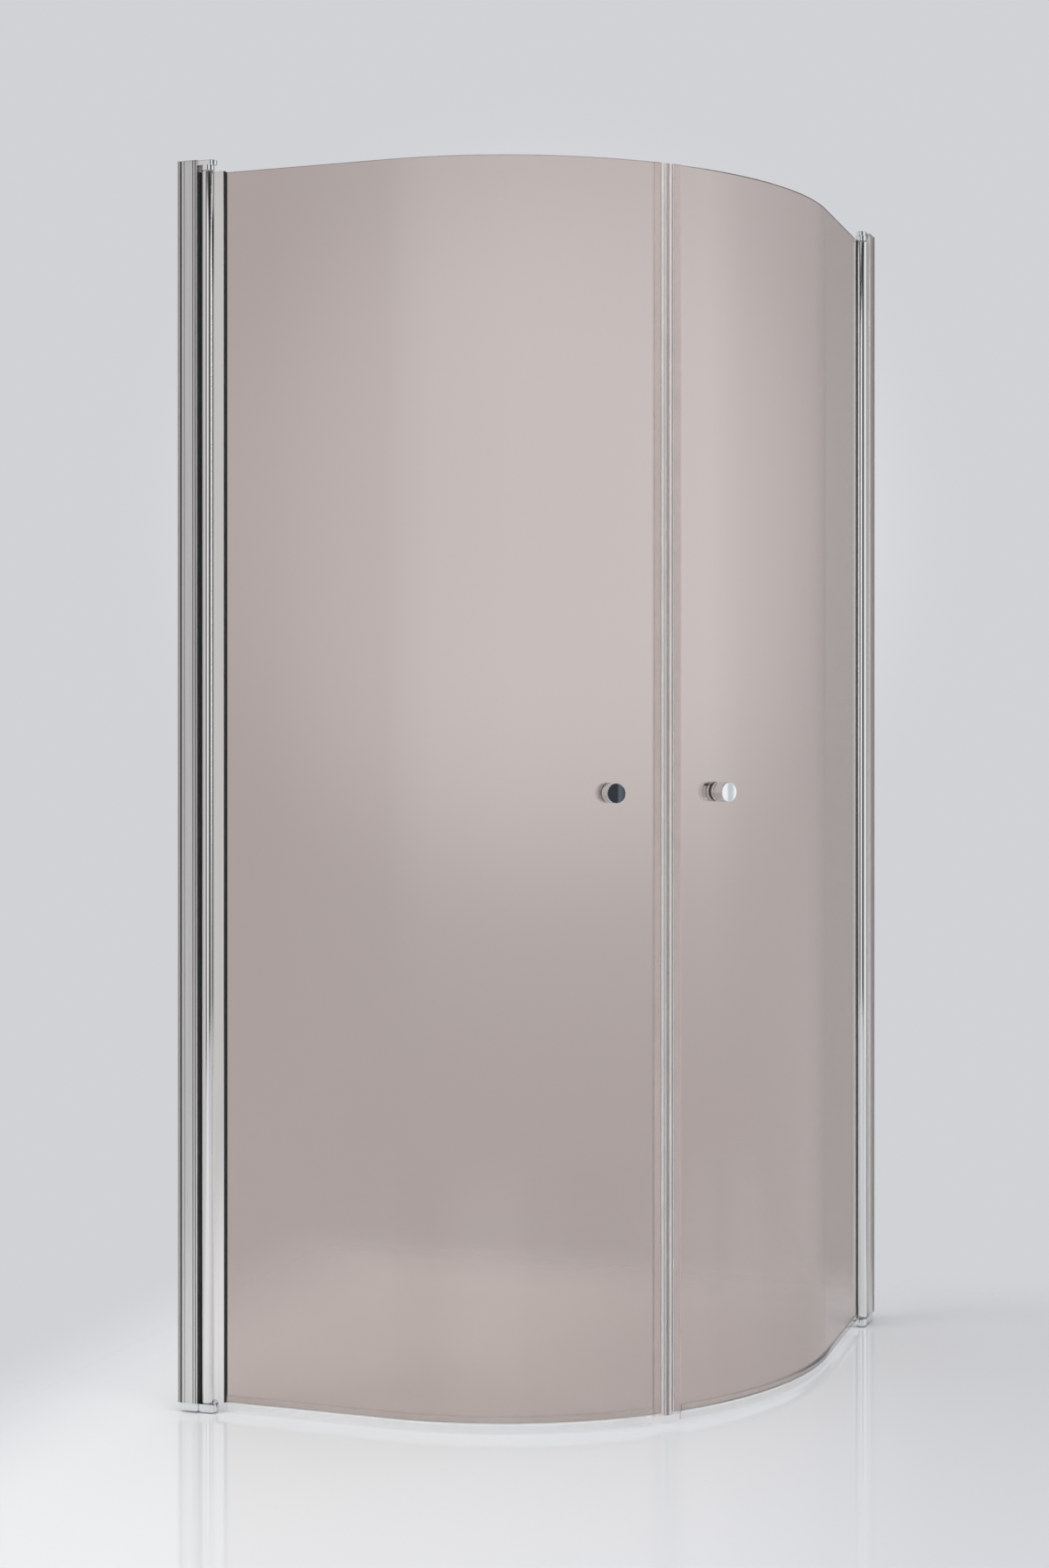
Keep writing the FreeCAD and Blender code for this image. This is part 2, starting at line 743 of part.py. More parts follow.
def glazing_gasket():
    """U shaped gasket round the edge of the glass in the clamp."""
    lip = "clamp_end + gasket_lip"
    floor = "clamp_base + gasket_thickness"
    return padded_piece(hinge_body("left_glazing_gasket"), [
        ("clamp_base", "hinge_offset - slot_half"),
        (lip, "hinge_offset - slot_half"),
        (lip, "hinge_offset - glass_half"),
        (floor, "hinge_offset - glass_half"),
        (floor, "hinge_offset + glass_half"),
        (lip, "hinge_offset + glass_half"),
        (lip, "hinge_offset + slot_half"),
        ("clamp_base", "hinge_offset + slot_half"),
    ], "tube_bottom", "tube_top")


def bush(name, end, inward):
    """Flanged bush in one end of the tube; inward is the sign of z towards its other end."""
    rim = f"{end} - ({inward}) * bush_flange"
    far = f"{end} + ({inward}) * bush_length"
    return turned_piece(hinge_body(name), [
        ("pin_bore / 2", rim),
        ("bush_flange_diameter / 2", rim),
        ("bush_flange_diameter / 2", end),
        ("tube_bore / 2", end),
        ("tube_bore / 2", far),
        ("pin_bore / 2", far),
    ], "XZ_Plane")


def door_glass():
    """Toughened glass: straight by the hinge, then bent, with a hole for the knobs."""
    blank = along_glass(wall_body("left_glass_blank"), [
        ("-glass_half", "glass_bottom"),
        ("glass_half", "glass_bottom"),
        ("glass_half", "glass_top"),
        ("-glass_half", "glass_top"),
    ], "glass_start", "glass_bend")
    drill = turned_piece(knob_body("left_glass_drill"), [
        ("0", "-bend_radius - glass_thickness"),
        ("glass_hole / 2", "-bend_radius - glass_thickness"),
        ("glass_hole / 2", "glass_thickness - bend_radius"),
        ("0", "glass_thickness - bend_radius"),
    ], "XY_Plane")
    glass = document.addObject("Part::Cut", "left_door_glass")
    glass.Base = blank
    glass.Tool = drill
    document.recompute()
    return glass


def sweep_seal():
    """Clear seal clipped under the glass, with a lip towards the floor and a drip fin."""
    outside = "glass_half + sweep_wall"
    floor = "glass_bottom - sweep_wall"
    top = "glass_bottom + sweep_grip"
    return along_glass(wall_body("left_sweep_seal"), [
        (f"-({outside})", floor),
        ("-sweep_lip / 2", floor),
        ("-sweep_lip / 2", "sweep_floor_gap"),
        ("sweep_lip / 2", "sweep_floor_gap"),
        ("sweep_lip / 2", floor),
        ("glass_half", floor),
        (f"{outside} + sweep_fin - sweep_wall", f"{floor} - sweep_fin"),
        (f"{outside} + sweep_fin", f"{floor} - sweep_fin"),
        (outside, "glass_bottom"),
        (outside, top),
        ("glass_half", top),
        ("glass_half", "glass_bottom"),
        ("-glass_half", "glass_bottom"),
        ("-glass_half", top),
        (f"-({outside})", top),
    ], "axis_from_wall + clamp_end + gasket_lip + sweep_start_gap", "sweep_bend")


def edge_body(name):
    return new_body(name, "bend_x", "bend_y", "0", "half_bend")


def edge_sector(body, name, inner, outer, near, far):
    """Full height strip beside the plane between the doors, from near to far along the glass."""
    bottom = "glass_bottom - seal_rise"
    sketch = new_sketch(body, name, lift=bottom)
    draw_sector(sketch, inner, outer, f"-90 - ({far}) * degrees_per_mm",
                f"-90 - ({near}) * degrees_per_mm")
    pad(body, sketch, f"glass_top - ({bottom})")


def magnet_seal():
    """Clear seal on the meeting edge: two walls over the glass, a web and a magnet pocket."""
    body = edge_body("left_magnet_seal")
    outer = "bend_radius + glass_half"
    inner = "bend_radius - glass_half"
    end = "joint_gap + nose_length + seal_grip"
    glass_edge = "joint_gap + nose_length"
    pocket_floor = "joint_gap + magnet_depth"
    edge_sector(body, "glass_web", inner, outer, f"{glass_edge} - seal_wall", glass_edge)
    edge_sector(body, "outer_wall", outer, f"{outer} + seal_wall", "joint_gap", end)
    edge_sector(body, "inner_wall", f"{inner} - seal_wall", inner, "joint_gap", end)
    edge_sector(body, "magnet_web", inner, outer, pocket_floor, f"{pocket_floor} + seal_wall")
    return body


def magnet_strip():
    """Magnet in the nose of the seal."""
    body = edge_body("left_magnet_strip")
    edge_sector(body, "section", "bend_radius - glass_half", "bend_radius + glass_half",
                "joint_gap", "joint_gap + magnet_depth")
    return body


def knob(name, base, outward):
    """Turned knob with a groove above its collar; outward is the sign away from the bend."""
    def away(distance):
        return f"-({base}) - ({outward}) * ({distance})"
    radius = "knob_diameter / 2"
    waist = f"{radius} - knob_groove_depth"
    return turned_piece(knob_body(name), [
        ("stud_diameter / 2", away("0")),
        (radius, away("0")),
        (radius, away("knob_collar")),
        (waist, away("knob_collar")),
        (waist, away("knob_collar + knob_groove")),
        (radius, away("knob_collar + knob_groove")),
        (radius, away("knob_length"), "knob_rounding"),
        ("0", away("knob_length")),
        ("0", away("stud_depth")),
        ("stud_diameter / 2", away("stud_depth")),
    ], "XY_Plane")


def knob_stud():
    """Threaded stud that joins the two knobs through the glass."""
    outer_end = "-(outer_seat + knob_washer_thickness + stud_depth)"
    inner_end = "stud_depth + knob_washer_thickness - inner_seat"
    return turned_piece(knob_body("left_knob_stud"), [
        ("0", outer_end),
        ("stud_diameter / 2", outer_end),
        ("stud_diameter / 2", inner_end),
        ("0", inner_end),
    ], "XY_Plane")


def knob_washers():
    """One soft washer on each face of the glass."""
    bore = "(stud_diameter + 2 * stud_clearance)"
    outer = turned_piece(knob_body("left_outer_washer"), ring_corners(
        bore, "knob_washer_diameter", "-outer_seat - knob_washer_thickness", "-outer_seat"),
        "XY_Plane")
    inner = turned_piece(knob_body("left_inner_washer"), ring_corners(
        bore, "knob_washer_diameter", "-inner_seat", "knob_washer_thickness - inner_seat"),
        "XY_Plane")
    return group("left_knob_washers", [outer, inner])


# ---------------------------------------------------------------- assembly

def left_pieces():
    """Every sub-part of the left half, from the wall to the knobs."""
    return [
        wall_channel(),
        adjusting_profile(),
        lock_screws(),
        lock_screw_caps(),
        gap_seal(),
        top_bracket(),
        bottom_bracket(),
        bracket_screw("left_top_bracket_screw", "top_screw"),
        bracket_screw("left_bottom_bracket_screw", "bottom_screw"),
        pin("left_top_pin", "boss_bottom - pin_reach", "boss_bottom + pin_grip"),
        pin("left_bottom_pin", "foot_height - pin_grip", "foot_height + pin_reach"),
        thrust_washer(),
        hinge_profile(),
        glazing_gasket(),
        bush("left_top_bush", "tube_top", "-1"),
        bush("left_bottom_bush", "tube_bottom", "1"),
        door_glass(),
        sweep_seal(),
        magnet_seal(),
        magnet_strip(),
        knob("left_outer_knob", "outer_seat + knob_washer_thickness", "1"),
        knob("left_inner_knob", "inner_seat - knob_washer_thickness", "-1"),
        knob_stud(),
        knob_washers(),
    ]


def mirrored(piece):
    """The same sub-part for the right half, over the diagonal of the square."""
    name = piece.Name.replace("left_", "right_")
    mirror = document.addObject("Part::Mirroring", name)
    mirror.Source = piece
    mirror.Base = Vector(0, 0, 0)
    mirror.Normal = Vector(1, 1, 0)
    return mirror


def check_document(pieces):
    """Stop if any object failed, or a sub-part is missing or broken."""
    for item in document.Objects:
        if "Invalid" in item.State or "Error" in item.State:
            raise RuntimeError(f"{item.Name} failed: {item.State}")
    for piece in pieces:
        if piece.Shape.isNull() or not piece.Shape.isValid() or not piece.Shape.Solids:
            raise RuntimeError(f"{piece.Name} is not a valid solid")


left = left_pieces()
right = [mirrored(piece) for piece in left]
document.recompute()
check_document(left + right)

os.makedirs("parts", exist_ok=True)
for sub_part in left + right:
    sub_part.Label = sub_part.Name
    sub_part.Shape.exportStep(f"parts/{sub_part.Label}.step")
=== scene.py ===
"""Dresses the quadrant shower enclosure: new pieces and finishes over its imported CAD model."""

import bmesh
import bpy
import numpy as np
from bpy.props import FloatProperty, FloatVectorProperty, PointerProperty
from mathutils import Euler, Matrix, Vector
from mathutils.geometry import tessellate_polygon


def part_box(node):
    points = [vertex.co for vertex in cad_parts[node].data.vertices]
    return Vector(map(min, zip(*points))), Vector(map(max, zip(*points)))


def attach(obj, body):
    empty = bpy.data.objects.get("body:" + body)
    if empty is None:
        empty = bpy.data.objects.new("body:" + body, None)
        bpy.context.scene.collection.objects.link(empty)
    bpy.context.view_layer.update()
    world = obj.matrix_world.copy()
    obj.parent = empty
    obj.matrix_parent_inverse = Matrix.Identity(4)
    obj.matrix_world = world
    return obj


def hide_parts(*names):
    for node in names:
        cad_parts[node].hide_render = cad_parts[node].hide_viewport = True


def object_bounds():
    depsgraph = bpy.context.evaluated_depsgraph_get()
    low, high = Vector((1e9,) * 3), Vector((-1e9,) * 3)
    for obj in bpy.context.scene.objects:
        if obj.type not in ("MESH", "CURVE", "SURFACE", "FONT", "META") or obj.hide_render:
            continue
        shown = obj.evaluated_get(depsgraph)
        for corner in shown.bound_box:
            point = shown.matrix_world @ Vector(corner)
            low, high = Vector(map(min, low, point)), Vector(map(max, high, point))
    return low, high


bl_info = {
    "name": "Quadrant shower enclosure",
    "version": (1, 0, 0),
    "blender": (4, 5, 0),
    "location": "3D View > Sidebar > Enclosure",
    "description": "Bent glass doors, hinge tubes, posts, brackets, seals and knobs of a shower enclosure",
    "category": "Add Mesh",
}

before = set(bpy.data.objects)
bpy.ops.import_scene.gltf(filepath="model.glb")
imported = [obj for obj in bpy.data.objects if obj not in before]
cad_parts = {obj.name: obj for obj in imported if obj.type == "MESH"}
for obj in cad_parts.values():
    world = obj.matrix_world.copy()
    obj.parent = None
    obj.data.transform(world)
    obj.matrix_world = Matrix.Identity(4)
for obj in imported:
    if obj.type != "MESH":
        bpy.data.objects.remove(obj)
CAD_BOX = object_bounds()
MM = 0.001
GAP = 0.05 * MM
CLEARANCE = 0.2 * MM
WALL = "wall_frame"
DOOR = "door"
UPWARDS = (0, 0, 1)
INWARDS = (0, 1, 0)


def reach(name):
    """Lowest and highest corner of a CAD node, as arrays in metres."""
    return tuple(np.array(corner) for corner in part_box(name))


POST_LOW, POST_HIGH = reach("left_adjusting_profile")
TUBE_LOW, TUBE_HIGH = reach("left_hinge_profile")
GLASS_LOW, GLASS_HIGH = reach("left_door_glass")
GASKET_LOW, GASKET_HIGH = reach("left_glazing_gasket")
SEAL_LOW, SEAL_HIGH = reach("left_magnet_seal")
FOOT_LOW, FOOT_HIGH = reach("left_bottom_bracket")
HEAD_LOW, HEAD_HIGH = reach("left_top_bracket")
PIN_LOW, PIN_HIGH = reach("left_bottom_pin")
AXIS = (PIN_LOW + PIN_HIGH)[:2] / 2
ARM_WIDTH = 16.6 * MM

# Fine grooves along the face of the posts, in millimetres: their middles, measured from the
# front, half their width, and their depth.
GROOVE_SPOTS = (20.6, 6.2, 2.6)
GROOVE_HALF = 0.7
GROOVE_DEPTH = 1.1

# Painted shade on the posts: near and far side from the corner of the walls, and the share of the colour
# that is left. The colour is darkened in the three grooves, and in the recess beside the channel's flange,
# where shade falls.
POST_PAINTED_SHADE = ((0.4206, 0.4216, 0.22), (0.4242, 0.4252, 0.22), (0.4386, 0.4396, 0.75),
              (0.4443, 0.4472, 0.18))
# Span of the ramp that holds the painted shade lines, and the soft width of their edges.
PAINTED_SHADE_REACH = (0.410, 0.450)
PAINTED_SHADE_EDGE = 0.1 * MM

# Noise runs mostly between these two values.
NOISE_SPAN = (0.3, 0.7)

# Stage: floor, light patch on the backdrop, ceiling and lamps. A lamp is its name, place, size,
# power and target. Lengths are in metres, and angles in degrees.
FLOOR_RADIUS = 3.0
RIM_FADE = (2.0, 2.9)
WALL_FADE = 0.45
# Reach along x over which the floor's colour darkens to the right: painted shade.
FLOOR_SHADE_REACH = (-0.1, 0.8)
GLOW = (-0.315, 0.948, 0.082)
GLOW_REACH = 10.5
CEILING_RADIUS = 4.5
CEILING_HEIGHT = 5.0
LAMPS = (
    ("ceiling_lamp", (0.3, -0.9, 4.2), (3.0, 2.4), 80, (0.0, 0.0, 0.6)),
    ("side_lamp", (-2.6, -2.4, 3.9), (1.6, 1.6), 30, (0.0, 0.0, 0.9)),
)

# Screen round the front. Its bearings are degrees from +x towards +y, with the shade there. The
# shades fade with height, the even shade fades with the bearing, and the sheen rises from the
# floor to its full height.
SURROUND_RADIUS = 2.75
SURROUND_REACH = (-125, 105)
SURROUND_HEIGHTS = (-1.6, 3.4)
SHADES_FADE, SHADES_LEFT = (3.0, 3.15), 0.12
EVEN_FADE, EVEN_LEFT = (42, 68), 0.5
SHEEN_RISE = 1.25
SHADES = (
    (-125, (0.64, 0.64, 0.65)), (-110, (0.64, 0.63, 0.62)), (-107, (0.10, 0.08, 0.075)),
    (-95, (0.10, 0.08, 0.075)), (-88, (0.70, 0.70, 0.71)), (-83, (1.0, 1.0, 1.0)),
    (-70, (1.0, 1.0, 1.0)), (-65, (0.40, 0.40, 0.41)), (-55, (0.28, 0.285, 0.295)),
    (-49, (0.04, 0.045, 0.055)), (-38.1, (0.04, 0.045, 0.055)), (-37.2, (0.14, 0.155, 0.18)),
    (-33, (0.08, 0.09, 0.10)), (-26, (0.28, 0.29, 0.30)),
    (-14, (0.46, 0.47, 0.48)), (-10, (1.0, 1.0, 1.0)), (-2, (1.0, 1.0, 1.0)),
    (-0.5, (0.60, 0.66, 0.68)), (3, (0.60, 0.66, 0.68)), (6, (1.0, 1.0, 1.0)),
    (18, (1.0, 1.0, 1.0)), (24, (0.66, 0.66, 0.67)), (38, (0.56, 0.55, 0.55)),
    (44, (0.30, 0.27, 0.26)), (86, (0.30, 0.27, 0.26)), (105, (0.62, 0.62, 0.64)),
)
SHEEN = (
    (-117, (0.0, 0.0, 0.0)), (-106, (0.55, 0.56, 0.58)), (-96, (0.80, 0.81, 0.83)),
    (-70, (1.0, 1.0, 1.0)), (-4, (1.0, 1.0, 1.0)), (12, (0.42, 0.43, 0.45)),
    (28, (0.16, 0.16, 0.17)), (44, (0.0, 0.0, 0.0)),
)


# ------------------------------------------------------------------ sizes and colours

def length(name, description, millimetres):
    """Length property whose default is given in millimetres."""
    return FloatProperty(name=name, description=description, default=millimetres * MM,
                         min=0, unit="LENGTH", precision=4)


def colour(name, description, red, green, blue):
    """Colour property."""
    return FloatVectorProperty(name=name, description=description, subtype="COLOR",
                               default=(red, green, blue), min=0, max=1)


def share(name, description, value, most=1.0):
    """Plain number property between nothing and its most."""
    return FloatProperty(name=name, description=description, default=value, min=0, max=most,
                         subtype="FACTOR")


class GlassSizes(bpy.types.PropertyGroup):
    """Sizes of the bent panes."""

    bend_radius: length("Bend radius", "Axis of the bend to the middle of the glass", 545)
    thickness: length("Thickness", "Thickness of the glass", 6)
    arris: length("Arris", "Width of the ground edge of the glass", 0.7)
    hole: length("Hole", "Diameter of the hole for the knobs", 12)


class ProfileSizes(bpy.types.PropertyGroup):
    """Sizes of the aluminium profiles."""

    wall: length("Wall", "Wall of the profiles", 1.8)
    rounding: length("Post rounding", "Rounding of the front corners of the post", 1.5)
    tube: length("Tube", "Diameter of the hinge tube", 19.2)
    bore: length("Bore", "Bore of the hinge tube", 12)
    slot: length("Slot", "Width of the glass slot", 8)
    clamp_rounding: length("Clamp rounding", "Rounding of the free edges of the clamp", 0.6)
    gasket: length("Gasket", "Thickness of the gasket in the slot", 1)
    edge: length("Edge", "Small rounding of sawn and turned edges", 0.3)


class SealSizes(bpy.types.PropertyGroup):
    """Sizes of the clear seals and the black seal."""

    wall: length("Wall", "Wall of the magnet seal", 1.1)
    grip: length("Grip", "Magnet seal over the glass", 12.5)
    nose: length("Nose", "Magnet seal beyond the glass", 10.25)
    magnet: length("Magnet", "Depth of the magnet strip", 2.5)
    sweep_wall: length("Sweep wall", "Wall of the sweep seal", 1.2)
    sweep_grip: length("Sweep grip", "Sweep seal over the glass", 9.5)
    sweep_fin: length("Sweep fin", "Reach of the drip fin", 5)
    floor_gap: length("Floor gap", "Lip of the sweep seal to the floor", 4)


class BracketSizes(bpy.types.PropertyGroup):
    """Sizes of the brackets at the ends of each post."""

    cup_rounding: length("Cup rounding", "Rounding under the cup of the foot", 5)
    cup_length: length("Cup length", "Length of the cup", 34)
    cup_width: length("Cup width", "Width of the cup", 20.6)
    boss_length: length("Boss length", "Length of the boss under the top arm", 21)
    edge: length("Edge", "Small rounding of the polished edges", 0.6)
    arm: length("Arm", "Thickness of the top arm", 7.4)


class KnobSizes(bpy.types.PropertyGroup):
    """Sizes of the knobs."""

    height: length("Height", "Floor to the middle of the knobs", 943)
    setback: length("Setback", "Knobs from the plane between the doors, along the glass", 92)
    diameter: length("Diameter", "Diameter of a knob", 30)
    length: length("Length", "Washer to the face of a knob", 25)
    collar: length("Collar", "Collar below the groove", 5)
    groove: length("Groove", "Width of the groove", 2.4)
    groove_depth: length("Groove depth", "Depth of the groove", 2.2)
    rounding: length("Rounding", "Rounding of the face of a knob", 1)
    washer: length("Washer", "Thickness of the soft washers", 0.8)


class Finishes(bpy.types.PropertyGroup):
    """Colours of the finishes."""

    satin: colour("Satin aluminium", "Anodised posts", 0.74, 0.73, 0.72)
    bright: colour("Bright aluminium", "Polished hinge tubes", 0.84, 0.825, 0.815)
    chrome: colour("Chrome", "Plated brackets and knobs", 0.84, 0.85, 0.87)
    steel: colour("Stainless steel", "Screws, pins and studs", 0.60, 0.59, 0.57)
    tint: colour("Glass tint", "Light that passes one bronze pane", 0.62, 0.53, 0.49)
    clear: colour("Clear plastic", "Seals and knob washers", 0.96, 0.93, 0.915)
    rubber: colour("Black rubber", "Gap seals and gaskets", 0.016, 0.016, 0.017)
    white: colour("White plastic", "Bushes and thrust washers", 0.80, 0.80, 0.78)
    grey: colour("Grey plastic", "Screw caps", 0.36, 0.37, 0.38)
    sweep: colour("Sweep plastic", "Seals under the glass", 0.975, 0.97, 0.965)
    magnet: colour("Magnet", "Flexible magnet strips", 0.40, 0.365, 0.35)


class StageSettings(bpy.types.PropertyGroup):
    """Floor, light and camera."""

    floor: colour("Floor", "Colour of the floor on the left", 0.84, 0.855, 0.87)
    # The floor is darker on the right: painted shade.
    floor_shaded_right: colour("Floor right", "Colour of the floor on the right", 0.73, 0.755, 0.795)
    backdrop: colour("Backdrop", "Colour behind the object", 0.64, 0.645, 0.67)
    ceiling: colour("Ceiling", "Colour above the object, seen in polished metal", 0.09, 0.10, 0.12)
    room_light: share("Room light", "Level of the light from all round", 0.62, 2)
    glow: share("Glow", "Lightest part of the backdrop behind the doors", 1.2, 2)
    sheen: share("Sheen", "Soft light mirrored in the glass", 2.4, 6)
    lens: FloatProperty(name="Lens", description="Focal length of the camera, in millimetres",
                        default=54.79)
    shift: FloatProperty(name="Shift", description="Vertical shift of the lens", default=-0.0332)
    place: FloatVectorProperty(name="Camera place", description="Where the camera stands",
                               subtype="TRANSLATION", default=(1.2167, -3.7124, 1.0396))
    aim: FloatVectorProperty(name="Camera aim", description="Pitch, roll and turn of the camera",
                             subtype="EULER", default=(np.radians(89.9), 0, np.radians(18.785)))


class Enclosure(bpy.types.PropertyGroup):
    """All settings of the enclosure."""

    glass: PointerProperty(type=GlassSizes)
    profiles: PointerProperty(type=ProfileSizes)
    seals: PointerProperty(type=SealSizes)
    brackets: PointerProperty(type=BracketSizes)
    knobs: PointerProperty(type=KnobSizes)
    finishes: PointerProperty(type=Finishes)
    stage: PointerProperty(type=StageSettings)


# ------------------------------------------------------------------ surfaces

def unit(vectors):
    """Vectors divided by their own lengths."""
    return vectors / np.maximum(np.linalg.norm(vectors, axis=-1, keepdims=True), 1e-12)


def rounded(corners, steps=6):
    """Closed outline from corners (x, y, radius). The arc of a corner has its centre on the line
    that halves the corner, radius / sin(half angle) away, and runs from one edge to the other."""
    corners = np.asarray(corners, float)
    spot, radius = corners[:, :2], corners[:, 2:]
    back = unit(np.roll(spot, 1, 0) - spot)
    onward = unit(np.roll(spot, -1, 0) - spot)
    middle = unit(back + onward)
    cosine = (back * middle).sum(1, keepdims=True)
    sine = np.sqrt(1 - np.clip(cosine, -1, 1) ** 2)
    centre = spot + middle * radius / np.maximum(sine, 1e-9)
    first = spot + back * radius * cosine / np.maximum(sine, 1e-9) - centre
    last = spot + onward * radius * cosine / np.maximum(sine, 1e-9) - centre
    start = np.arctan2(first[:, 1], first[:, 0])[:, None]
    sweep = (np.arctan2(last[:, 1], last[:, 0])[:, None] - start + np.pi) % (2 * np.pi) - np.pi
    angle = start + sweep * np.linspace(0, 1, steps + 1)
    arcs = centre[:, None] + radius[:, None] * np.stack([np.cos(angle), np.sin(angle)], -1)
    points = np.where(radius[:, None] > 0, arcs, spot[:, None]).reshape(-1, 2)
    apart = np.linalg.norm(points - np.roll(points, 1, 0), axis=1) > 1e-7
    return points[apart]


def arc(centre, radius, start, end, steps):
    """Points about a centre, evenly from one angle to another, in degrees."""
    angle = np.radians(np.linspace(start, end, steps + 1))
    return np.stack([centre[0] + radius * np.cos(angle), centre[1] + radius * np.sin(angle)], -1)


def block(west, east, south, north, west_radius, east_radius, steps=6):
    """Four-cornered outline, with one radius for its corners at each end of x."""
    return rounded([(west, south, west_radius), (east, south, east_radius),
                    (east, north, east_radius), (west, north, west_radius)], steps)


def slot_outline(low, high, middle, width):
    """Outline with half-round ends, from low to high along x, about the line y = middle."""
    half = width / 2
    return np.vstack([arc((high - half, middle), half, -90, 90, 24),
                      arc((low + half, middle), half, 90, 270, 24)])


def mitre(outline):
    """How far each point moves when both its edges move one unit to the left: the sum of the two
    edge normals over one plus their product."""
    edge = unit(np.roll(outline, -1, 0) - outline)
    after = np.stack([-edge[:, 1], edge[:, 0]], -1)
    before = np.roll(after, 1, 0)
    return (before + after) / (1 + (before * after).sum(1, keepdims=True))


def levels(low, high, low_edge=0.0, high_edge=0.0, steps=3, between=()):
    """Rows of (height, inset) of a carried outline. At an end with an edge radius r the rows are
    a quarter circle: height r (1 - cos t) from the end, inset r (1 - sin t)."""
    turn = np.linspace(0, np.pi / 2, steps + 1)
    rise, inset = 1 - np.cos(turn), 1 - np.sin(turn)
    rows = [np.stack([low + low_edge * rise, low_edge * inset], -1),
            np.array([(height, 0.0) for height in between]).reshape(-1, 2),
            np.stack([high - high_edge * rise, high_edge * inset], -1)[::-1]]
    rows = np.vstack(rows)
    return rows[np.append(True, np.abs(np.diff(rows, axis=0)).max(1) > 1e-7)]


def skin(rings, columns, first=0, wrapped=False):
    """Four-sided faces over a grid of points whose columns close on themselves; wrapped also
    closes the rings."""
    index = first + np.arange(rings * columns).reshape(rings, columns)
    index = np.hstack([index, index[:, :1]])
    if wrapped:
        index = np.vstack([index, index[:1]])
    return np.stack([index[:-1, :-1], index[:-1, 1:], index[1:, 1:], index[1:, :-1]],
                    -1).reshape(-1, 4)


def carried(outlines, rows):
    """Closed piece: outlines (the first one counter-clockwise, holes clockwise) are carried
    through rows of (height, inset), and both ends are filled. Point = outline + inset * mitre."""
    grids, faces, first = [], [], 0
    ends = [[], []]
    for outline in outlines:
        flat = outline + rows[:, None, 1:] * mitre(outline)
        tall = np.broadcast_to(rows[:, None, :1], flat.shape[:2] + (1,))
        grids.append(np.concatenate([flat, tall], -1).reshape(-1, 3))
        faces += skin(len(rows), len(outline), first).tolist()
        ring = first + np.arange(len(outline))
        ends[0].append(ring)
        ends[1].append(ring + (len(rows) - 1) * len(outline))
        first += flat.shape[0] * flat.shape[1]
    points = np.vstack(grids)
    fill = np.array(tessellate_polygon(
        [[Vector((*spot, 0)) for spot in outline] for outline in outlines]))
    flat = np.vstack(outlines)[fill]
    one, two = flat[:, 1] - flat[:, 0], flat[:, 2] - flat[:, 0]
    wrong = one[:, 0] * two[:, 1] < one[:, 1] * two[:, 0]
    fill[wrong] = fill[wrong][:, ::-1]
    faces += np.concatenate(ends[0])[fill][:, ::-1].tolist()
    faces += np.concatenate(ends[1])[fill].tolist()
    return points, faces


def turned(profile, foot, axis, steps=72, six_sided=None, wrapped=False):
    """Closed piece turned about an axis: profile rows are (radius, distance from the foot), and a
    point is foot + axis * distance + radius * (side cos t + up sin t). In the six-sided rows the
    radius is that of a hexagon, radius / cos(t folded into one of its sides). A wrapped profile
    closes on itself, for a ring."""
    axis = unit(np.array(axis, float))
    side = unit(np.cross(axis, (0.0, 0.0, 1.0) if abs(axis[2]) < 0.9 else (0.0, 1.0, 0.0)))
    turn = np.linspace(0, 2 * np.pi, steps, endpoint=False)
    radius = np.repeat(profile[:, :1], steps, 1)
    if six_sided is not None:
        fold = (turn + np.pi / 6) % (np.pi / 3) - np.pi / 6
        radius = np.where(six_sided[:, None], radius / np.cos(fold), radius)
    round_it = np.cos(turn)[:, None] * side + np.sin(turn)[:, None] * np.cross(axis, side)
    points = np.array(foot) + profile[:, None, 1:] * axis + radius[:, :, None] * round_it
    return points.reshape(-1, 3), skin(len(profile), steps, wrapped=wrapped).tolist()


def on_plan(run, inward, glass):
    """Place on the plan at a distance run along the middle of the glass from the start of the
    bend, and inward from it. Before the bend the line is straight along x. After it the point
    turns about the axis of the bend: x = cx + (R - inward) sin a, y = cy - (R - inward) cos a,
    where a = run / R."""
    bend = glass.bend_radius
    centre = GLASS_LOW[1] + glass.thickness / 2 + bend
    turn = np.maximum(run, 0) / bend
    return np.stack([np.minimum(run, 0) - centre + (bend - inward) * np.sin(turn),
                     centre - (bend - inward) * np.cos(turn)], -1)


def along_glass(shell, glass):
    """Carries a piece whose points are (inward, height, run) to its place along the glass."""
    points, faces = shell
    return np.column_stack([on_plan(points[:, 2], points[:, 0], glass), points[:, 1]]), faces


def beside_edge(shell, glass):
    """Carries a piece whose points are (run, inward, height) to its place at the meeting edge."""
    points, faces = shell
    return np.column_stack([on_plan(points[:, 0], points[:, 1], glass), points[:, 2]]), faces


def finely(outline, longest):
    """Outline with points added on its edges, so that none is longer than the limit."""
    edge = np.roll(outline, -1, 0) - outline
    count = np.ceil(np.linalg.norm(edge, axis=1) / longest).astype(int).clip(1)
    start = np.repeat(np.arange(len(outline)), count)
    share_on = (np.arange(count.sum()) - np.repeat(np.cumsum(count) - count, count))
    return outline[start] + edge[start] * (share_on / count[start])[:, None]


# ------------------------------------------------------------------ making pieces

LETS_LIGHT_THROUGH = ("bronze_glass", "clear_plastic", "sweep_plastic")


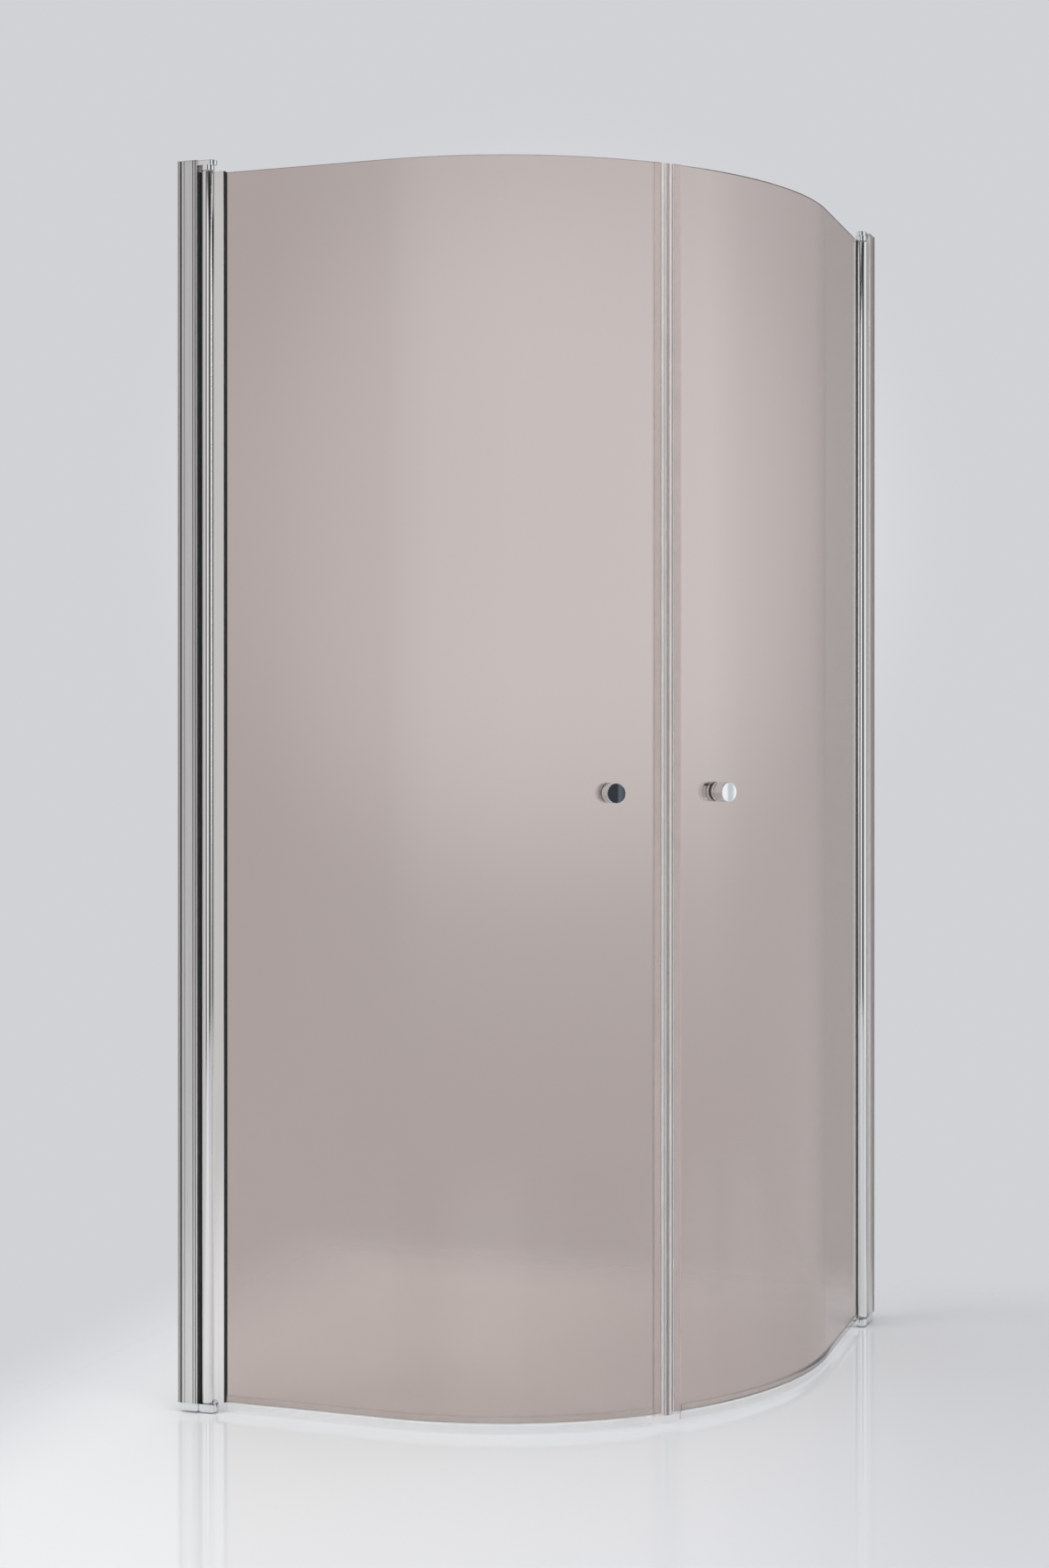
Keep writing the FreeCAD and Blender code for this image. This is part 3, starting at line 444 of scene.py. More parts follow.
def piece_mesh(name, shells, flipped):
    """Mesh of one or more closed shells. The points of the right side are those of the left with
    x and y changed over and turned about: (x, y) goes to (-y, -x). Each shell has its doubles
    merged, and then its faces are turned outwards."""
    mesh = bpy.data.meshes.new(name)
    whole = bmesh.new()
    for points, faces in shells:
        if flipped:
            points = points[:, [1, 0, 2]] * (-1, -1, 1)
        mesh.clear_geometry()
        mesh.from_pydata(points.tolist(), [], faces)
        shell = bmesh.new()
        shell.from_mesh(mesh)
        bmesh.ops.remove_doubles(shell, verts=shell.verts, dist=1e-7)
        bmesh.ops.recalc_face_normals(shell, faces=shell.faces)
        shell.to_mesh(mesh)
        shell.free()
        whole.from_mesh(mesh)
    whole.to_mesh(mesh)
    whole.free()
    mesh.shade_smooth()
    mesh.set_sharp_from_angle(angle=np.radians(32))
    return mesh


def fit(name, nodes, body, finish, shells):
    """Puts a piece on the left and its mirror image on the right, in place of the CAD nodes."""
    for side in ("left", "right"):
        mesh = piece_mesh(f"{side}_{name}", shells, side == "right")
        mesh.materials.append(FINISHES[finish])
        piece = bpy.data.objects.new(f"{side}_{name}", mesh)
        bpy.context.collection.objects.link(piece)
        piece.visible_shadow = finish not in LETS_LIGHT_THROUGH
        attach(piece, WALL if body == WALL else f"{side}_{DOOR}")
        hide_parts(*[f"{side}_{node}" for node in nodes])


def dress(node, finish):
    """Gives the CAD nodes of both sides a finish."""
    for side in ("left", "right"):
        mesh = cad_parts[f"{side}_{node}"].data
        mesh.materials.clear()
        mesh.materials.append(FINISHES[finish])


# ------------------------------------------------------------------ shader nodes

def node(tree, kind, inputs=None, **settings):
    """New shader node. Each input takes a value, or the output of another node."""
    made = tree.nodes.new(f"ShaderNode{kind}")
    for name, value in settings.items():
        setattr(made, name, value)
    for name, value in (inputs or {}).items():
        if isinstance(value, bpy.types.NodeSocket):
            tree.links.new(value, made.inputs[name])
        else:
            made.inputs[name].default_value = value
    return made


def maths(tree, operation, one, two):
    """Output of a maths node."""
    return node(tree, "Math", {0: one, 1: two}, operation=operation).outputs["Value"]


def spread(tree, value, first, last, low=0.0, high=1.0, kind="LINEAR"):
    """Output that goes from low to high while the value goes from first to last."""
    return node(tree, "MapRange", {"Value": value, "From Min": first, "From Max": last,
                                   "To Min": low, "To Max": high},
                interpolation_type=kind).outputs["Result"]


def ramp(tree, value, stops):
    """Colour output that runs through stops of (position, colour)."""
    made = node(tree, "ValToRGB", {"Fac": value})
    elements = made.color_ramp.elements
    while len(elements) < len(stops):
        elements.new(0.5)
    for element, (position, shade) in zip(elements, stops):
        element.position, element.color = position, (*shade, 1)
    return made.outputs["Color"]


def blend(tree, share_of_two, one, two):
    """Shader that mixes two others, linked to the output of the tree."""
    mixed = node(tree, "MixShader", {"Fac": share_of_two, 1: one, 2: two})
    ends = [place for place in tree.nodes if place.bl_idname.startswith("ShaderNodeOutput")]
    tree.links.new(mixed.outputs["Shader"], ends[0].inputs["Surface"])


# ------------------------------------------------------------------ finishes

# The finished materials by name. Plain materials already stand under the slots' own names, so these are
# kept here and aren't looked up by name.
FINISHES = {}


class Recipe:
    """Material with a Principled shader and patterns over Object coordinates."""

    def __init__(self, name, base, **sockets):
        self.material = FINISHES[name] = bpy.data.materials.new(f"{name}_finish")
        self.material.use_nodes = True
        self.tree = self.material.node_tree
        self.shader = self.tree.nodes["Principled BSDF"]
        self.base = base
        self.shader.inputs["Base Color"].default_value = (*base, 1)
        for socket, value in sockets.items():
            self.shader.inputs[socket.replace("_", " ")].default_value = value

    def drive(self, socket, output):
        """Links an output to a socket of the shader."""
        self.tree.links.new(output, self.shader.inputs[socket])

    def noise(self, stretch, detail=4.0, rough=0.55):
        """Noise whose cells are stretched along the axes, in cells a metre."""
        place = node(self.tree, "TexCoord").outputs["Object"]
        stretched = node(self.tree, "Mapping", {"Vector": place, "Scale": stretch})
        return node(self.tree, "TexNoise", {
            "Vector": stretched.outputs["Vector"], "Scale": 1.0, "Detail": detail,
            "Roughness": rough}).outputs["Fac"]

    def tone(self, pattern, darker, lighter):
        """The base colour varies with the pattern between two multiples of itself."""
        stops = [(spot, [min(part * times, 1) for part in self.base])
                 for spot, times in zip(NOISE_SPAN, (darker, lighter))]
        self.drive("Base Color", ramp(self.tree, pattern, stops))

    def lines(self, spots):
        """Painted shade: dark lines by the distance from the corner of the walls, which is the larger of
        -x and y, standing in for shade in the grooves and recesses. Each spot is (near, far, share), and
        between near and far that share of the base colour is left."""
        first, last = PAINTED_SHADE_REACH
        stops = [(first, 1.0)]
        for near, far, left in spots:
            stops += [(near - PAINTED_SHADE_EDGE, 1.0), (near, left), (far, left), (far + PAINTED_SHADE_EDGE, 1.0)]
        place = node(self.tree, "TexCoord").outputs["Object"]
        parts = node(self.tree, "SeparateXYZ", {0: place}).outputs
        away = maths(self.tree, "MAXIMUM", maths(self.tree, "MULTIPLY", parts["X"], -1.0),
                     parts["Y"])
        # Painted shade: bands of darker base colour in the grooves and recesses.
        painted_shade_colour = ramp(self.tree, spread(self.tree, away, first, last),
                        [((spot - first) / (last - first), (left,) * 3) for spot, left in stops])
        mixed = node(self.tree, "Mix", {
            "Factor": 1.0, "A": self.shader.inputs["Base Color"].links[0].from_socket,
            "B": painted_shade_colour}, data_type="RGBA", blend_type="MULTIPLY")
        self.drive("Base Color", mixed.outputs["Result"])

    def gloss(self, pattern, low, high):
        """The roughness varies with the pattern between two values."""
        self.drive("Roughness", spread(self.tree, pattern, *NOISE_SPAN, low, high))

    def relief(self, pattern, depth):
        """The surface rises and falls with the pattern by a depth in metres."""
        bump = node(self.tree, "Bump", {"Strength": 1.0, "Distance": depth, "Height": pattern})
        self.drive("Normal", bump.outputs["Normal"])


def grained(name, base, patches, tones, grain, shine, depth, **sockets):
    """Finish whose colour varies in patches, and whose roughness and relief follow a fine grain.
    Without patches the colour follows the grain too."""
    recipe = Recipe(name, base, **sockets)
    fine = recipe.noise(*grain)
    recipe.tone(recipe.noise(*patches) if patches else fine, *tones)
    recipe.gloss(fine, *shine)
    recipe.relief(fine, depth)
    return recipe


def make_finishes(colours):
    """All finishes of the enclosure, from the plain colours."""
    satin = grained("satin_aluminium", colours.satin, ((260, 260, 3), 4), (0.95, 1.04),
                    ((1400, 1400, 14), 5), (0.26, 0.36), 0.000012, Metallic=1.0)
    # Painted shade in the grooves of the posts and wall channels, and in the recess beside the flange.
    satin.lines(POST_PAINTED_SHADE)
    grained("bright_aluminium", colours.bright, ((300, 300, 2), 4), (0.97, 1.02),
            ((900, 900, 5), 5), (0.05, 0.09), 0.000004, Metallic=1.0)
    chrome = Recipe("chrome", colours.chrome, Metallic=1.0)
    chrome.gloss(chrome.noise((90, 90, 90), 6, 0.6), 0.03, 0.075)
    chrome.tone(chrome.noise((40, 40, 40), 3), 0.985, 1.01)
    chrome.relief(chrome.noise((160, 160, 160), 2), 0.000006)
    grained("stainless_steel", colours.steel, None, (0.92, 1.06),
            ((2600, 2600, 2600), 3), (0.20, 0.34), 0.00001, Metallic=1.0)
    glass = Recipe("bronze_glass", colours.tint, Transmission_Weight=1.0, IOR=1.5, Roughness=0.0)
    glass.tone(glass.noise((1.4, 1.4, 0.9), 2), 0.985, 1.01)
    grained("clear_plastic", colours.clear, ((60, 60, 20), 3), (0.97, 1.01),
            ((500, 500, 12), 3), (0.02, 0.06), 0.000004, Transmission_Weight=0.90, IOR=1.40)
    grained("sweep_plastic", colours.sweep, ((60, 60, 20), 3), (0.98, 1.01),
            ((500, 500, 12), 3), (0.02, 0.06), 0.000004, Transmission_Weight=0.98, IOR=1.35)
    grained("black_rubber", colours.rubber, ((120, 120, 30), 4), (0.75, 1.5),
            ((900, 900, 60), 5), (0.42, 0.62), 0.00004)
    grained("white_plastic", colours.white, ((90, 90, 90), 3), (0.96, 1.02),
            ((700, 700, 700), 4), (0.34, 0.46), 0.00001)
    grained("grey_plastic", colours.grey, ((120, 120, 120), 3), (0.93, 1.05),
            ((800, 800, 800), 4), (0.30, 0.42), 0.000015)
    grained("flexible_magnet", colours.magnet, None, (0.7, 1.5),
            ((2200, 2200, 300), 5), (0.6, 0.8), 0.00003)


# ------------------------------------------------------------------ operators

class ENCLOSURE_OT_finishes(bpy.types.Operator):
    """Make the materials of the enclosure"""

    bl_idname = "enclosure.finishes"
    bl_label = "Finishes"

    def execute(self, context):
        make_finishes(context.scene.enclosure.finishes)
        return {"FINISHED"}


class ENCLOSURE_OT_posts(bpy.types.Operator):
    """Finish the wall channels, and make the posts that slide over them and their black seals"""

    bl_idname = "enclosure.posts"
    bl_label = "Posts"

    def execute(self, context):
        sizes = context.scene.enclosure.profiles
        dress("wall_channel", "satin_aluminium")
        low, high = POST_LOW, POST_HIGH
        wall, corner, edge = sizes.wall, sizes.rounding, sizes.edge
        half_notch = ARM_WIDTH / 2 + CLEARANCE
        notch = high[2] - context.scene.enclosure.brackets.arm - CLEARANCE
        back, front, inside = low[0], high[0], high[0] - wall
        outer_face = [(back, low[1], 0.8 * MM), *grooves(front, low[1]), (front, low[1], corner)]
        outer_back = [(inside, low[1] + wall, 0.3 * MM), (back, low[1] + wall, 0)]
        inner_side = [(front, high[1], corner), (back, high[1], 0), (back, high[1] - wall, 0),
                      (inside, high[1] - wall, 0.3 * MM)]
        near, far = AXIS[1] - half_notch, AXIS[1] + half_notch
        section = rounded(outer_face + inner_side + outer_back)
        outer = rounded(outer_face + [(front, near, 0), (inside, near, 0)] + outer_back)
        inner = rounded([(front, far, 0)] + inner_side + [(inside, far, 0)])
        beside_arm = levels(notch, high[2], 0, edge)
        fit("post", ["adjusting_profile"], WALL, "satin_aluminium", [
            carried([section], levels(low[2], notch, edge, 0)),
            carried([outer], beside_arm), carried([inner], beside_arm)])
        low, high = reach("left_gap_seal")
        middle, nose = AXIS[1], 3 * MM
        face, root = middle - 5 * MM, low[0] + 1 * MM
        lip = [(low[0], face, 0.2 * MM), (root, face, 0.4 * MM),
               (high[0], middle - nose, 0.8 * MM), (high[0], middle + nose, 0.8 * MM),
               (root, high[1], 0.4 * MM), (low[0], high[1], 0.2 * MM)]
        fit("post_seal", ["gap_seal"], WALL, "black_rubber",
            [carried([rounded(lip)], levels(low[2], high[2], 0.2 * MM, 0.2 * MM))])
        return {"FINISHED"}


def grooves(front, face):
    """Corners of the three fine grooves along the face of the post, each a notch of three
    corners: its two edges on the face and its floor between them."""
    middle = front - np.array(GROOVE_SPOTS) * MM
    across = np.array([-GROOVE_HALF, 0.0, GROOVE_HALF]) * MM
    deep = np.array([0.0, GROOVE_DEPTH, 0.0]) * MM
    spots = np.stack([middle[:, None] + across, np.broadcast_to(face + deep, (3, 3)),
                      np.zeros((3, 3))], -1)
    return spots.reshape(-1, 3).tolist()


class ENCLOSURE_OT_brackets(bpy.types.Operator):
    """Make the chrome bracket at the top and the chrome foot at the bottom of each post"""

    bl_idname = "enclosure.brackets"
    bl_label = "Brackets"

    def execute(self, context):
        sizes = context.scene.enclosure.brackets
        edge, middle, soft = sizes.edge, AXIS[1], 0.4 * MM
        half_root, pin_hole, boss_tall = 9 * MM, 4 * MM, 8 * MM
        root_high = POST_HIGH[0] - 2 * MM
        root = block(HEAD_LOW[0], root_high, middle - half_root, middle + half_root, soft, soft)
        half = ARM_WIDTH / 2
        start, end = root_high - 1 * MM, HEAD_HIGH[0]
        arm = np.vstack([arc((end - half, middle), half, -90, 90, 32),
                         [(start, middle + half), (start, middle - half)]])
        top = HEAD_HIGH[2]
        under = top - sizes.arm
        boss = slot_outline(AXIS[0] - sizes.boss_length / 2, AXIS[0] + sizes.boss_length / 2,
                            middle, ARM_WIDTH)
        fit("top_arm", ["top_bracket"], WALL, "chrome", [
            carried([root], levels(HEAD_LOW[2], top, soft, 0.3 * MM)),
            carried([arm], levels(under, top, edge, edge, 5)),
            carried([boss, arc(AXIS, pin_hole, 0, -360, 40)[:-1]],
                    levels(under - boss_tall, under + 0.5 * MM, edge, 0, 5))])
        low, high = FOOT_LOW, FOOT_HIGH
        plate_low, cup_top = 2 * MM, POST_LOW[2]
        plate = block(low[0], POST_HIGH[0], low[1], high[1], 0.6 * MM, 0.2 * MM)
        cup = slot_outline(high[0] - sizes.cup_length, high[0], middle, sizes.cup_width)
        fit("foot", ["bottom_bracket"], WALL, "chrome", [
            carried([plate], levels(plate_low, cup_top, edge, edge, 5)),
            carried([cup], levels(low[2], cup_top, sizes.cup_rounding, edge, 10)),
            carried([root], levels(cup_top, high[2], 0, soft))])
        return {"FINISHED"}


class ENCLOSURE_OT_pivots(bpy.types.Operator):
    """Make the hinge pins, their bushes and the thrust washers"""

    bl_idname = "enclosure.pivots"
    bl_label = "Pivots"

    def execute(self, context):
        foot = (*AXIS, 0.0)
        for name in ("top_pin", "bottom_pin"):
            low, high = reach(f"left_{name}")
            radius = (high - low)[0] / 2
            solid = rounded([(0, low[2], 0), (radius, low[2], 0.5 * MM),
                             (radius, high[2], 0.5 * MM), (0, high[2], 0)])
            fit(f"{name}_rod", [name], WALL, "stainless_steel",
                [turned(solid, foot, UPWARDS, 48)])
        bore, sleeve, flange, soft = 4.05 * MM, 6 * MM, 1 * MM, 0.2 * MM
        for name, body, flange_up in (("top_bush", DOOR, True), ("bottom_bush", DOOR, False),
                                      ("thrust_washer", WALL, None)):
            low, high = reach(f"left_{name}")
            radius = (high - low)[0] / 2
            ring = [(bore, low[2], soft), (radius, low[2], soft),
                    (radius, high[2], soft), (bore, high[2], soft)]
            if flange_up is True:
                ring[1:2] = [(sleeve, low[2], 2 * soft), (sleeve, high[2] - flange, 0),
                             (radius, high[2] - flange, soft)]
            if flange_up is False:
                ring[2:3] = [(radius, low[2] + flange, soft), (sleeve, low[2] + flange, 0),
                             (sleeve, high[2], 2 * soft)]
            fit(f"{name}_ring", [name], body, "white_plastic",
                [turned(rounded(ring, 4), foot, UPWARDS, 64, wrapped=True)])
        return {"FINISHED"}


class ENCLOSURE_OT_hinge_tubes(bpy.types.Operator):
    """Make the hinge tubes with their glass clamps, and the black gaskets in the clamps"""

    bl_idname = "enclosure.hinge_tubes"
    bl_label = "Hinge tubes"

    def execute(self, context):
        enclosure = context.scene.enclosure
        sizes, glass = enclosure.profiles, enclosure.glass
        radius, wall, soft = sizes.tube / 2, sizes.wall, sizes.clamp_rounding
        line = GLASS_LOW[1] + glass.thickness / 2
        half, out = sizes.slot / 2, sizes.slot / 2 + wall
        tip, floor = TUBE_HIGH[0], GASKET_LOW[0]
        lower = np.degrees(np.arcsin((line - out - AXIS[1]) / radius))
        throat, lead_in = 3.2 * MM, 0.15 * MM
        neck = np.degrees(np.arccos(throat / radius))
        tube = arc(AXIS, radius, neck, 360 + lower, 60)
        clamp = rounded([
            (AXIS[0] + radius * 0.99, line - out, 0), (tip, line - out, soft),
            (tip, line - half, lead_in), (floor, line - half, 0), (floor, line + half, 0),
            (tip, line + half, lead_in), (tip, line + out, soft),
            (AXIS[0] + radius - 0.4 * MM, line + out, 2 * MM), (*(tube[0] + 1e-5), 0)])
        outline = np.vstack([tube, clamp[1:]])
        bore = arc(AXIS, sizes.bore / 2, 0, -360, 60)[:-1]
        rows = levels(TUBE_LOW[2], TUBE_HIGH[2], sizes.edge, sizes.edge)
        fit("hinge_tube", ["hinge_profile"], DOOR, "bright_aluminium",
            [carried([outline, bore], rows)])
        low, high = GASKET_LOW, GASKET_HIGH
        thick = sizes.gasket
        gasket = rounded([
            (low[0], low[1], 0), (high[0], low[1], 0.4 * MM), (high[0], low[1] + thick, 0.2 * MM),
            (low[0] + thick, low[1] + thick, 0), (low[0] + thick, high[1] - thick, 0),
            (high[0], high[1] - thick, 0.2 * MM), (high[0], high[1], 0.4 * MM),
            (low[0], high[1], 0)], 4)
        fit("glass_gasket", ["glazing_gasket"], DOOR, "black_rubber",
            [carried([gasket], levels(low[2], high[2], 0.1 * MM, 0.1 * MM))])
        return {"FINISHED"}


def glass_edge(enclosure):
    """Length of glass round the bend, to its meeting edge."""
    return enclosure.glass.bend_radius * np.pi / 4 - enclosure.seals.nose - 0.25 * MM


def bent_pane(enclosure):
    """Pane of glass with a ground arris all round and a round hole. Its upright section is a
    closed run of (inward, height), carried along the plan; the hole is a ring of points whose
    rows go from a square of the grid to a circle, on both faces, joined through the glass."""
    glass, knobs = enclosure.glass, enclosure.knobs
    half, arris = glass.thickness / 2, glass.arris
    low, high = GLASS_LOW[2], GLASS_HIGH[2]
    start, end = GLASS_LOW[0] + line_offset(glass), glass_edge(enclosure)
    spot = np.array([glass.bend_radius * np.pi / 4 - knobs.setback, knobs.height])
    count, reach_out = 6, 18 * MM
    patch = np.linspace(-reach_out, reach_out, count + 1)
    round_bend, past_hole, levels_beside = 50, 12, 8
    before = np.linspace(0, spot[0] - reach_out, round_bend)[:-1]
    after = np.linspace(spot[0] + reach_out, end - arris, past_hole)[1:]
    runs = np.concatenate([[start, start + arris, start / 2], before, spot[0] + patch, after, [end]])
    inset = np.zeros(len(runs))
    inset[[0, -1]] = arris
    below = np.linspace(low, spot[1] - reach_out, levels_beside)[1:-1]
    above = np.linspace(spot[1] + reach_out, high, levels_beside)[1:-1]
    heights = np.concatenate([[low + arris], below, spot[1] + patch, above, [high - arris]])
    face = np.stack([np.full(len(heights), -half), heights], -1)
    section = np.vstack([face, [(arris - half, high), (half - arris, high)],
                         (face * (-1, 1))[::-1], [(half - arris, low), (arris - half, low)]])
    pull = np.sign(section[:, 0]) * inset[:, None]
    inward = section[:, 0] - np.where(np.abs(section[:, 0]) > half - arris / 2, pull, 0)
    height = np.broadcast_to(section[:, 1], inward.shape)
    inner_row = np.isclose(np.abs(section[:, 0]), half - arris)
    height = height - np.where(inner_row, np.sign(section[:, 1] - spot[1]) * inset[:, None], 0)
    along = np.broadcast_to(runs[:, None], inward.shape)
    points = np.column_stack([on_plan(along.ravel(), inward.ravel(), glass), height.ravel()])
    rows = len(section)
    faces = skin(len(runs), rows).reshape(len(runs) - 1, rows, 4)
    run_mark = int(np.argmin(np.abs(runs - (spot[0] - reach_out))))
    outer_mark = int(np.argmin(np.abs(heights - (spot[1] - reach_out))))
    inner_mark = 2 * len(heights) + 1 - outer_mark - count
    keep = np.ones(faces.shape[:2], bool)
    index = np.arange(len(runs) * rows).reshape(len(runs), rows)
    rings = []
    for mark, side in ((outer_mark, -half), (inner_mark, half)):
        keep[run_mark:run_mark + count, mark:mark + count] = False
        square = index[run_mark:run_mark + count + 1, mark:mark + count + 1]
        if side > 0:
            square = square[:, ::-1]
        rim = np.concatenate([square[:-1, 0], square[-1, :-1], square[:0:-1, -1], square[0, :0:-1]])
        flat = np.stack([along.ravel()[rim], height.ravel()[rim]], -1) - spot
        circle = unit(flat) * glass.hole / 2
        middle = (flat + circle) / 2
        first = len(points)
        for ring in (middle, circle):
            place = ring + spot
            points = np.vstack([points, np.column_stack(
                [on_plan(place[:, 0], np.full(len(place), side), glass), place[:, 1]])])
        ring_index = np.vstack([rim, first + np.arange(len(rim)),
                                first + len(rim) + np.arange(len(rim))])
        rings.append(ring_index)
    kept = faces[keep].tolist()
    outer, inner = rings
    for one, two in ((outer[0], outer[1]), (outer[1], outer[2]), (inner[1], inner[0]),
                     (inner[2], inner[1]), (outer[2], inner[2])):
        kept += joined(one, two)
    return points, kept + [index[0][::-1].tolist(), index[-1].tolist()]


def joined(one, two):
    """Four-sided faces between two closed rings of as many points."""
    one, two = np.append(one, one[0]), np.append(two, two[0])
    return np.stack([one[:-1], one[1:], two[1:], two[:-1]], -1).tolist()


def line_offset(glass):
    """Distance from the start of the bend to the middle of the object, along x."""
    return GLASS_LOW[1] + glass.thickness / 2 + glass.bend_radius


class ENCLOSURE_OT_glass(bpy.types.Operator):
    """Make the bronze glass of the two doors, straight beside the hinge and then bent"""

    bl_idname = "enclosure.glass"
    bl_label = "Door glass"

    def execute(self, context):
        pane = bent_pane(context.scene.enclosure)
        fit("pane", ["door_glass"], DOOR, "bronze_glass", [pane])
        return {"FINISHED"}


class ENCLOSURE_OT_seals(bpy.types.Operator):
    """Make the clear sweep seals, the clear seals of the meeting edges and their magnet strips"""

    bl_idname = "enclosure.seals"
    bl_label = "Seals"

    def execute(self, context):
        enclosure = context.scene.enclosure
        sizes, glass = enclosure.seals, enclosure.glass
        half, wall, soft = glass.thickness / 2, sizes.wall, 0.25 * MM
        edge = glass_edge(enclosure)
        wing, face = edge - sizes.grip, edge + sizes.nose
        pocket = face - sizes.magnet
        out, half, glass_end = half + wall, half + GAP, edge + GAP
        jamb = rounded([
            (wing, -out, 2 * soft), (face, -out, soft), (face, -half, soft / 2),
            (pocket, -half, 0), (pocket, half, 0), (face, half, soft / 2), (face, out, soft),
            (wing, out, 2 * soft), (wing, half, soft), (glass_end, half, 0), (glass_end, -half, 0),
            (wing, -half, soft)], 4)
        hollow = rounded([(edge + wall, -half, soft), (edge + wall, half, soft),
                          (pocket - wall, half, soft), (pocket - wall, -half, soft)], 3)
        rows = levels(SEAL_LOW[2], SEAL_HIGH[2], soft, soft)
        shell = carried([finely(jamb, 3 * MM), finely(hollow, 3 * MM)], rows)
        fit("jamb_seal", ["magnet_seal"], DOOR, "clear_plastic",
            [beside_edge(shell, glass)])
        low, high = reach("left_magnet_strip")
        pocket, half = pocket + GAP, half - 2 * GAP
        strip = block(pocket, face, -half, half, 0.3 * MM, 0.5 * MM, 4)
        fit("magnet", ["magnet_strip"], DOOR, "flexible_magnet",
            [beside_edge(carried([strip], levels(low[2], high[2], soft, soft)), glass)])
        low, high = reach("left_sweep_seal")
        wall = sizes.sweep_wall
        half = glass.thickness / 2
        out, under, sill = half + wall, GLASS_LOW[2] - wall, GLASS_LOW[2] - GAP
        half += GAP
        top, fin = sill + sizes.sweep_grip, sizes.sweep_fin
        lip = 0.6 * MM
        section = rounded([
            (-out, under, 3 * soft), (-lip, under, 0.5 * MM), (-lip, sizes.floor_gap, 0.4 * MM),
            (lip, sizes.floor_gap, 0.4 * MM), (lip, under, 0.5 * MM), (half, under, 0),
            (out + fin - wall, under - fin, 0.3 * MM), (out + fin, under - fin, 0.3 * MM),
            (out, sill, 1.5 * MM), (out, top, 2 * soft), (half, top, soft), (half, sill, 0),
            (-half, sill, 0), (-half, top, soft), (-out, top, 2 * soft)], 4)
        start = low[0] + line_offset(glass)
        end = edge - sizes.grip - 0.3 * MM
        between = np.concatenate([[0.0], np.linspace(0, end, 48)[1:-1]])
        shell = carried([section], levels(start, end, soft, soft, between=between))
        fit("sill_seal", ["sweep_seal"], DOOR, "sweep_plastic",
            [along_glass(shell, glass)])
        return {"FINISHED"}


class ENCLOSURE_OT_knobs(bpy.types.Operator):
    """Make the knobs on both faces of each door, their threaded studs and soft washers"""

    bl_idname = "enclosure.knobs"
    bl_label = "Knobs"

    def execute(self, context):
        enclosure = context.scene.enclosure
        sizes, glass = enclosure.knobs, enclosure.glass
        run = glass.bend_radius * np.pi / 4 - sizes.setback
        turn = run / glass.bend_radius
        out = np.array([np.sin(turn), -np.cos(turn), 0])
        half = glass.thickness / 2
        centre = np.array([*on_plan(np.array([run]), np.array([0.0]), glass)[0], sizes.height])
        thread_radius, hole, washer_radius = 4 * MM, 4.1 * MM, 12 * MM
        seat = np.sqrt((glass.bend_radius - half) ** 2 - washer_radius ** 2)
        outer_foot = centre + out * half
        inner_foot = centre - out * (glass.bend_radius - seat)
        radius, soft = sizes.diameter / 2, 0.35 * MM
        waist, bore, depth = radius - sizes.groove_depth, thread_radius, 12 * MM
        profile = rounded([
            (0, depth, 0), (bore, depth, 0), (bore, 0, 0.3 * MM), (radius, 0, 0.6 * MM),
            (radius, sizes.collar, soft), (waist, sizes.collar, 0.2 * MM),
            (waist, sizes.collar + sizes.groove, 0.2 * MM),
            (radius, sizes.collar + sizes.groove, soft), (radius, sizes.length, sizes.rounding),
            (0, sizes.length, 0)])
        for name, foot, away in (("outer", outer_foot, out), ("inner", inner_foot, -out)):
            fit(f"{name}_pull", [f"{name}_knob"], DOOR, "chrome",
                [turned(profile, foot + away * sizes.washer, away, 96)])
        washer = block(hole, washer_radius, GAP, sizes.washer - GAP, 0.2 * MM, 0.25 * MM, 4)
        fit("soft_washers", ["knob_washers"], DOOR, "clear_plastic",
            [turned(washer, foot, away, 64, wrapped=True)
             for foot, away in ((outer_foot, out), (inner_foot, -out))])
        first = inner_foot - out * (sizes.washer + depth)
        span = np.linalg.norm(outer_foot + out * (sizes.washer + depth) - first)
        fit("threaded_stud", ["knob_stud"], DOOR, "stainless_steel",
            [thread(first, out, span, thread_radius, 1.25 * MM)])
        return {"FINISHED"}


def thread(foot, axis, span, radius, pitch):
    """Threaded rod: the radius falls by 0.54 of the pitch in a wave that climbs the rod once a
    turn, radius - depth * |2 f - 1| with f the part of (height / pitch - turns)."""
    rows_a_turn, depth = 8, 0.54 * pitch
    steps, rows = 36, int(span / pitch * rows_a_turn)
    height = np.linspace(0, span, rows)
    turns = np.arange(steps) / steps
    wave = np.abs(2 * ((height[:, None] / pitch - turns) % 1) - 1)
    taper = np.minimum(1, np.minimum(height, span - height)[:, None] / pitch + 0.75)
    reach_out = (radius - depth * wave) * taper
    reach_out[[0, -1]] *= 0.0
    side = unit(np.cross(axis, (0.0, 0.0, 1.0)))
    up = np.cross(axis, side)
    turn = turns * 2 * np.pi
    around = np.cos(turn)[:, None] * side + np.sin(turn)[:, None] * up
    points = foot + height[:, None, None] * axis + reach_out[:, :, None] * around
    return points.reshape(-1, 3), skin(rows, steps).tolist()


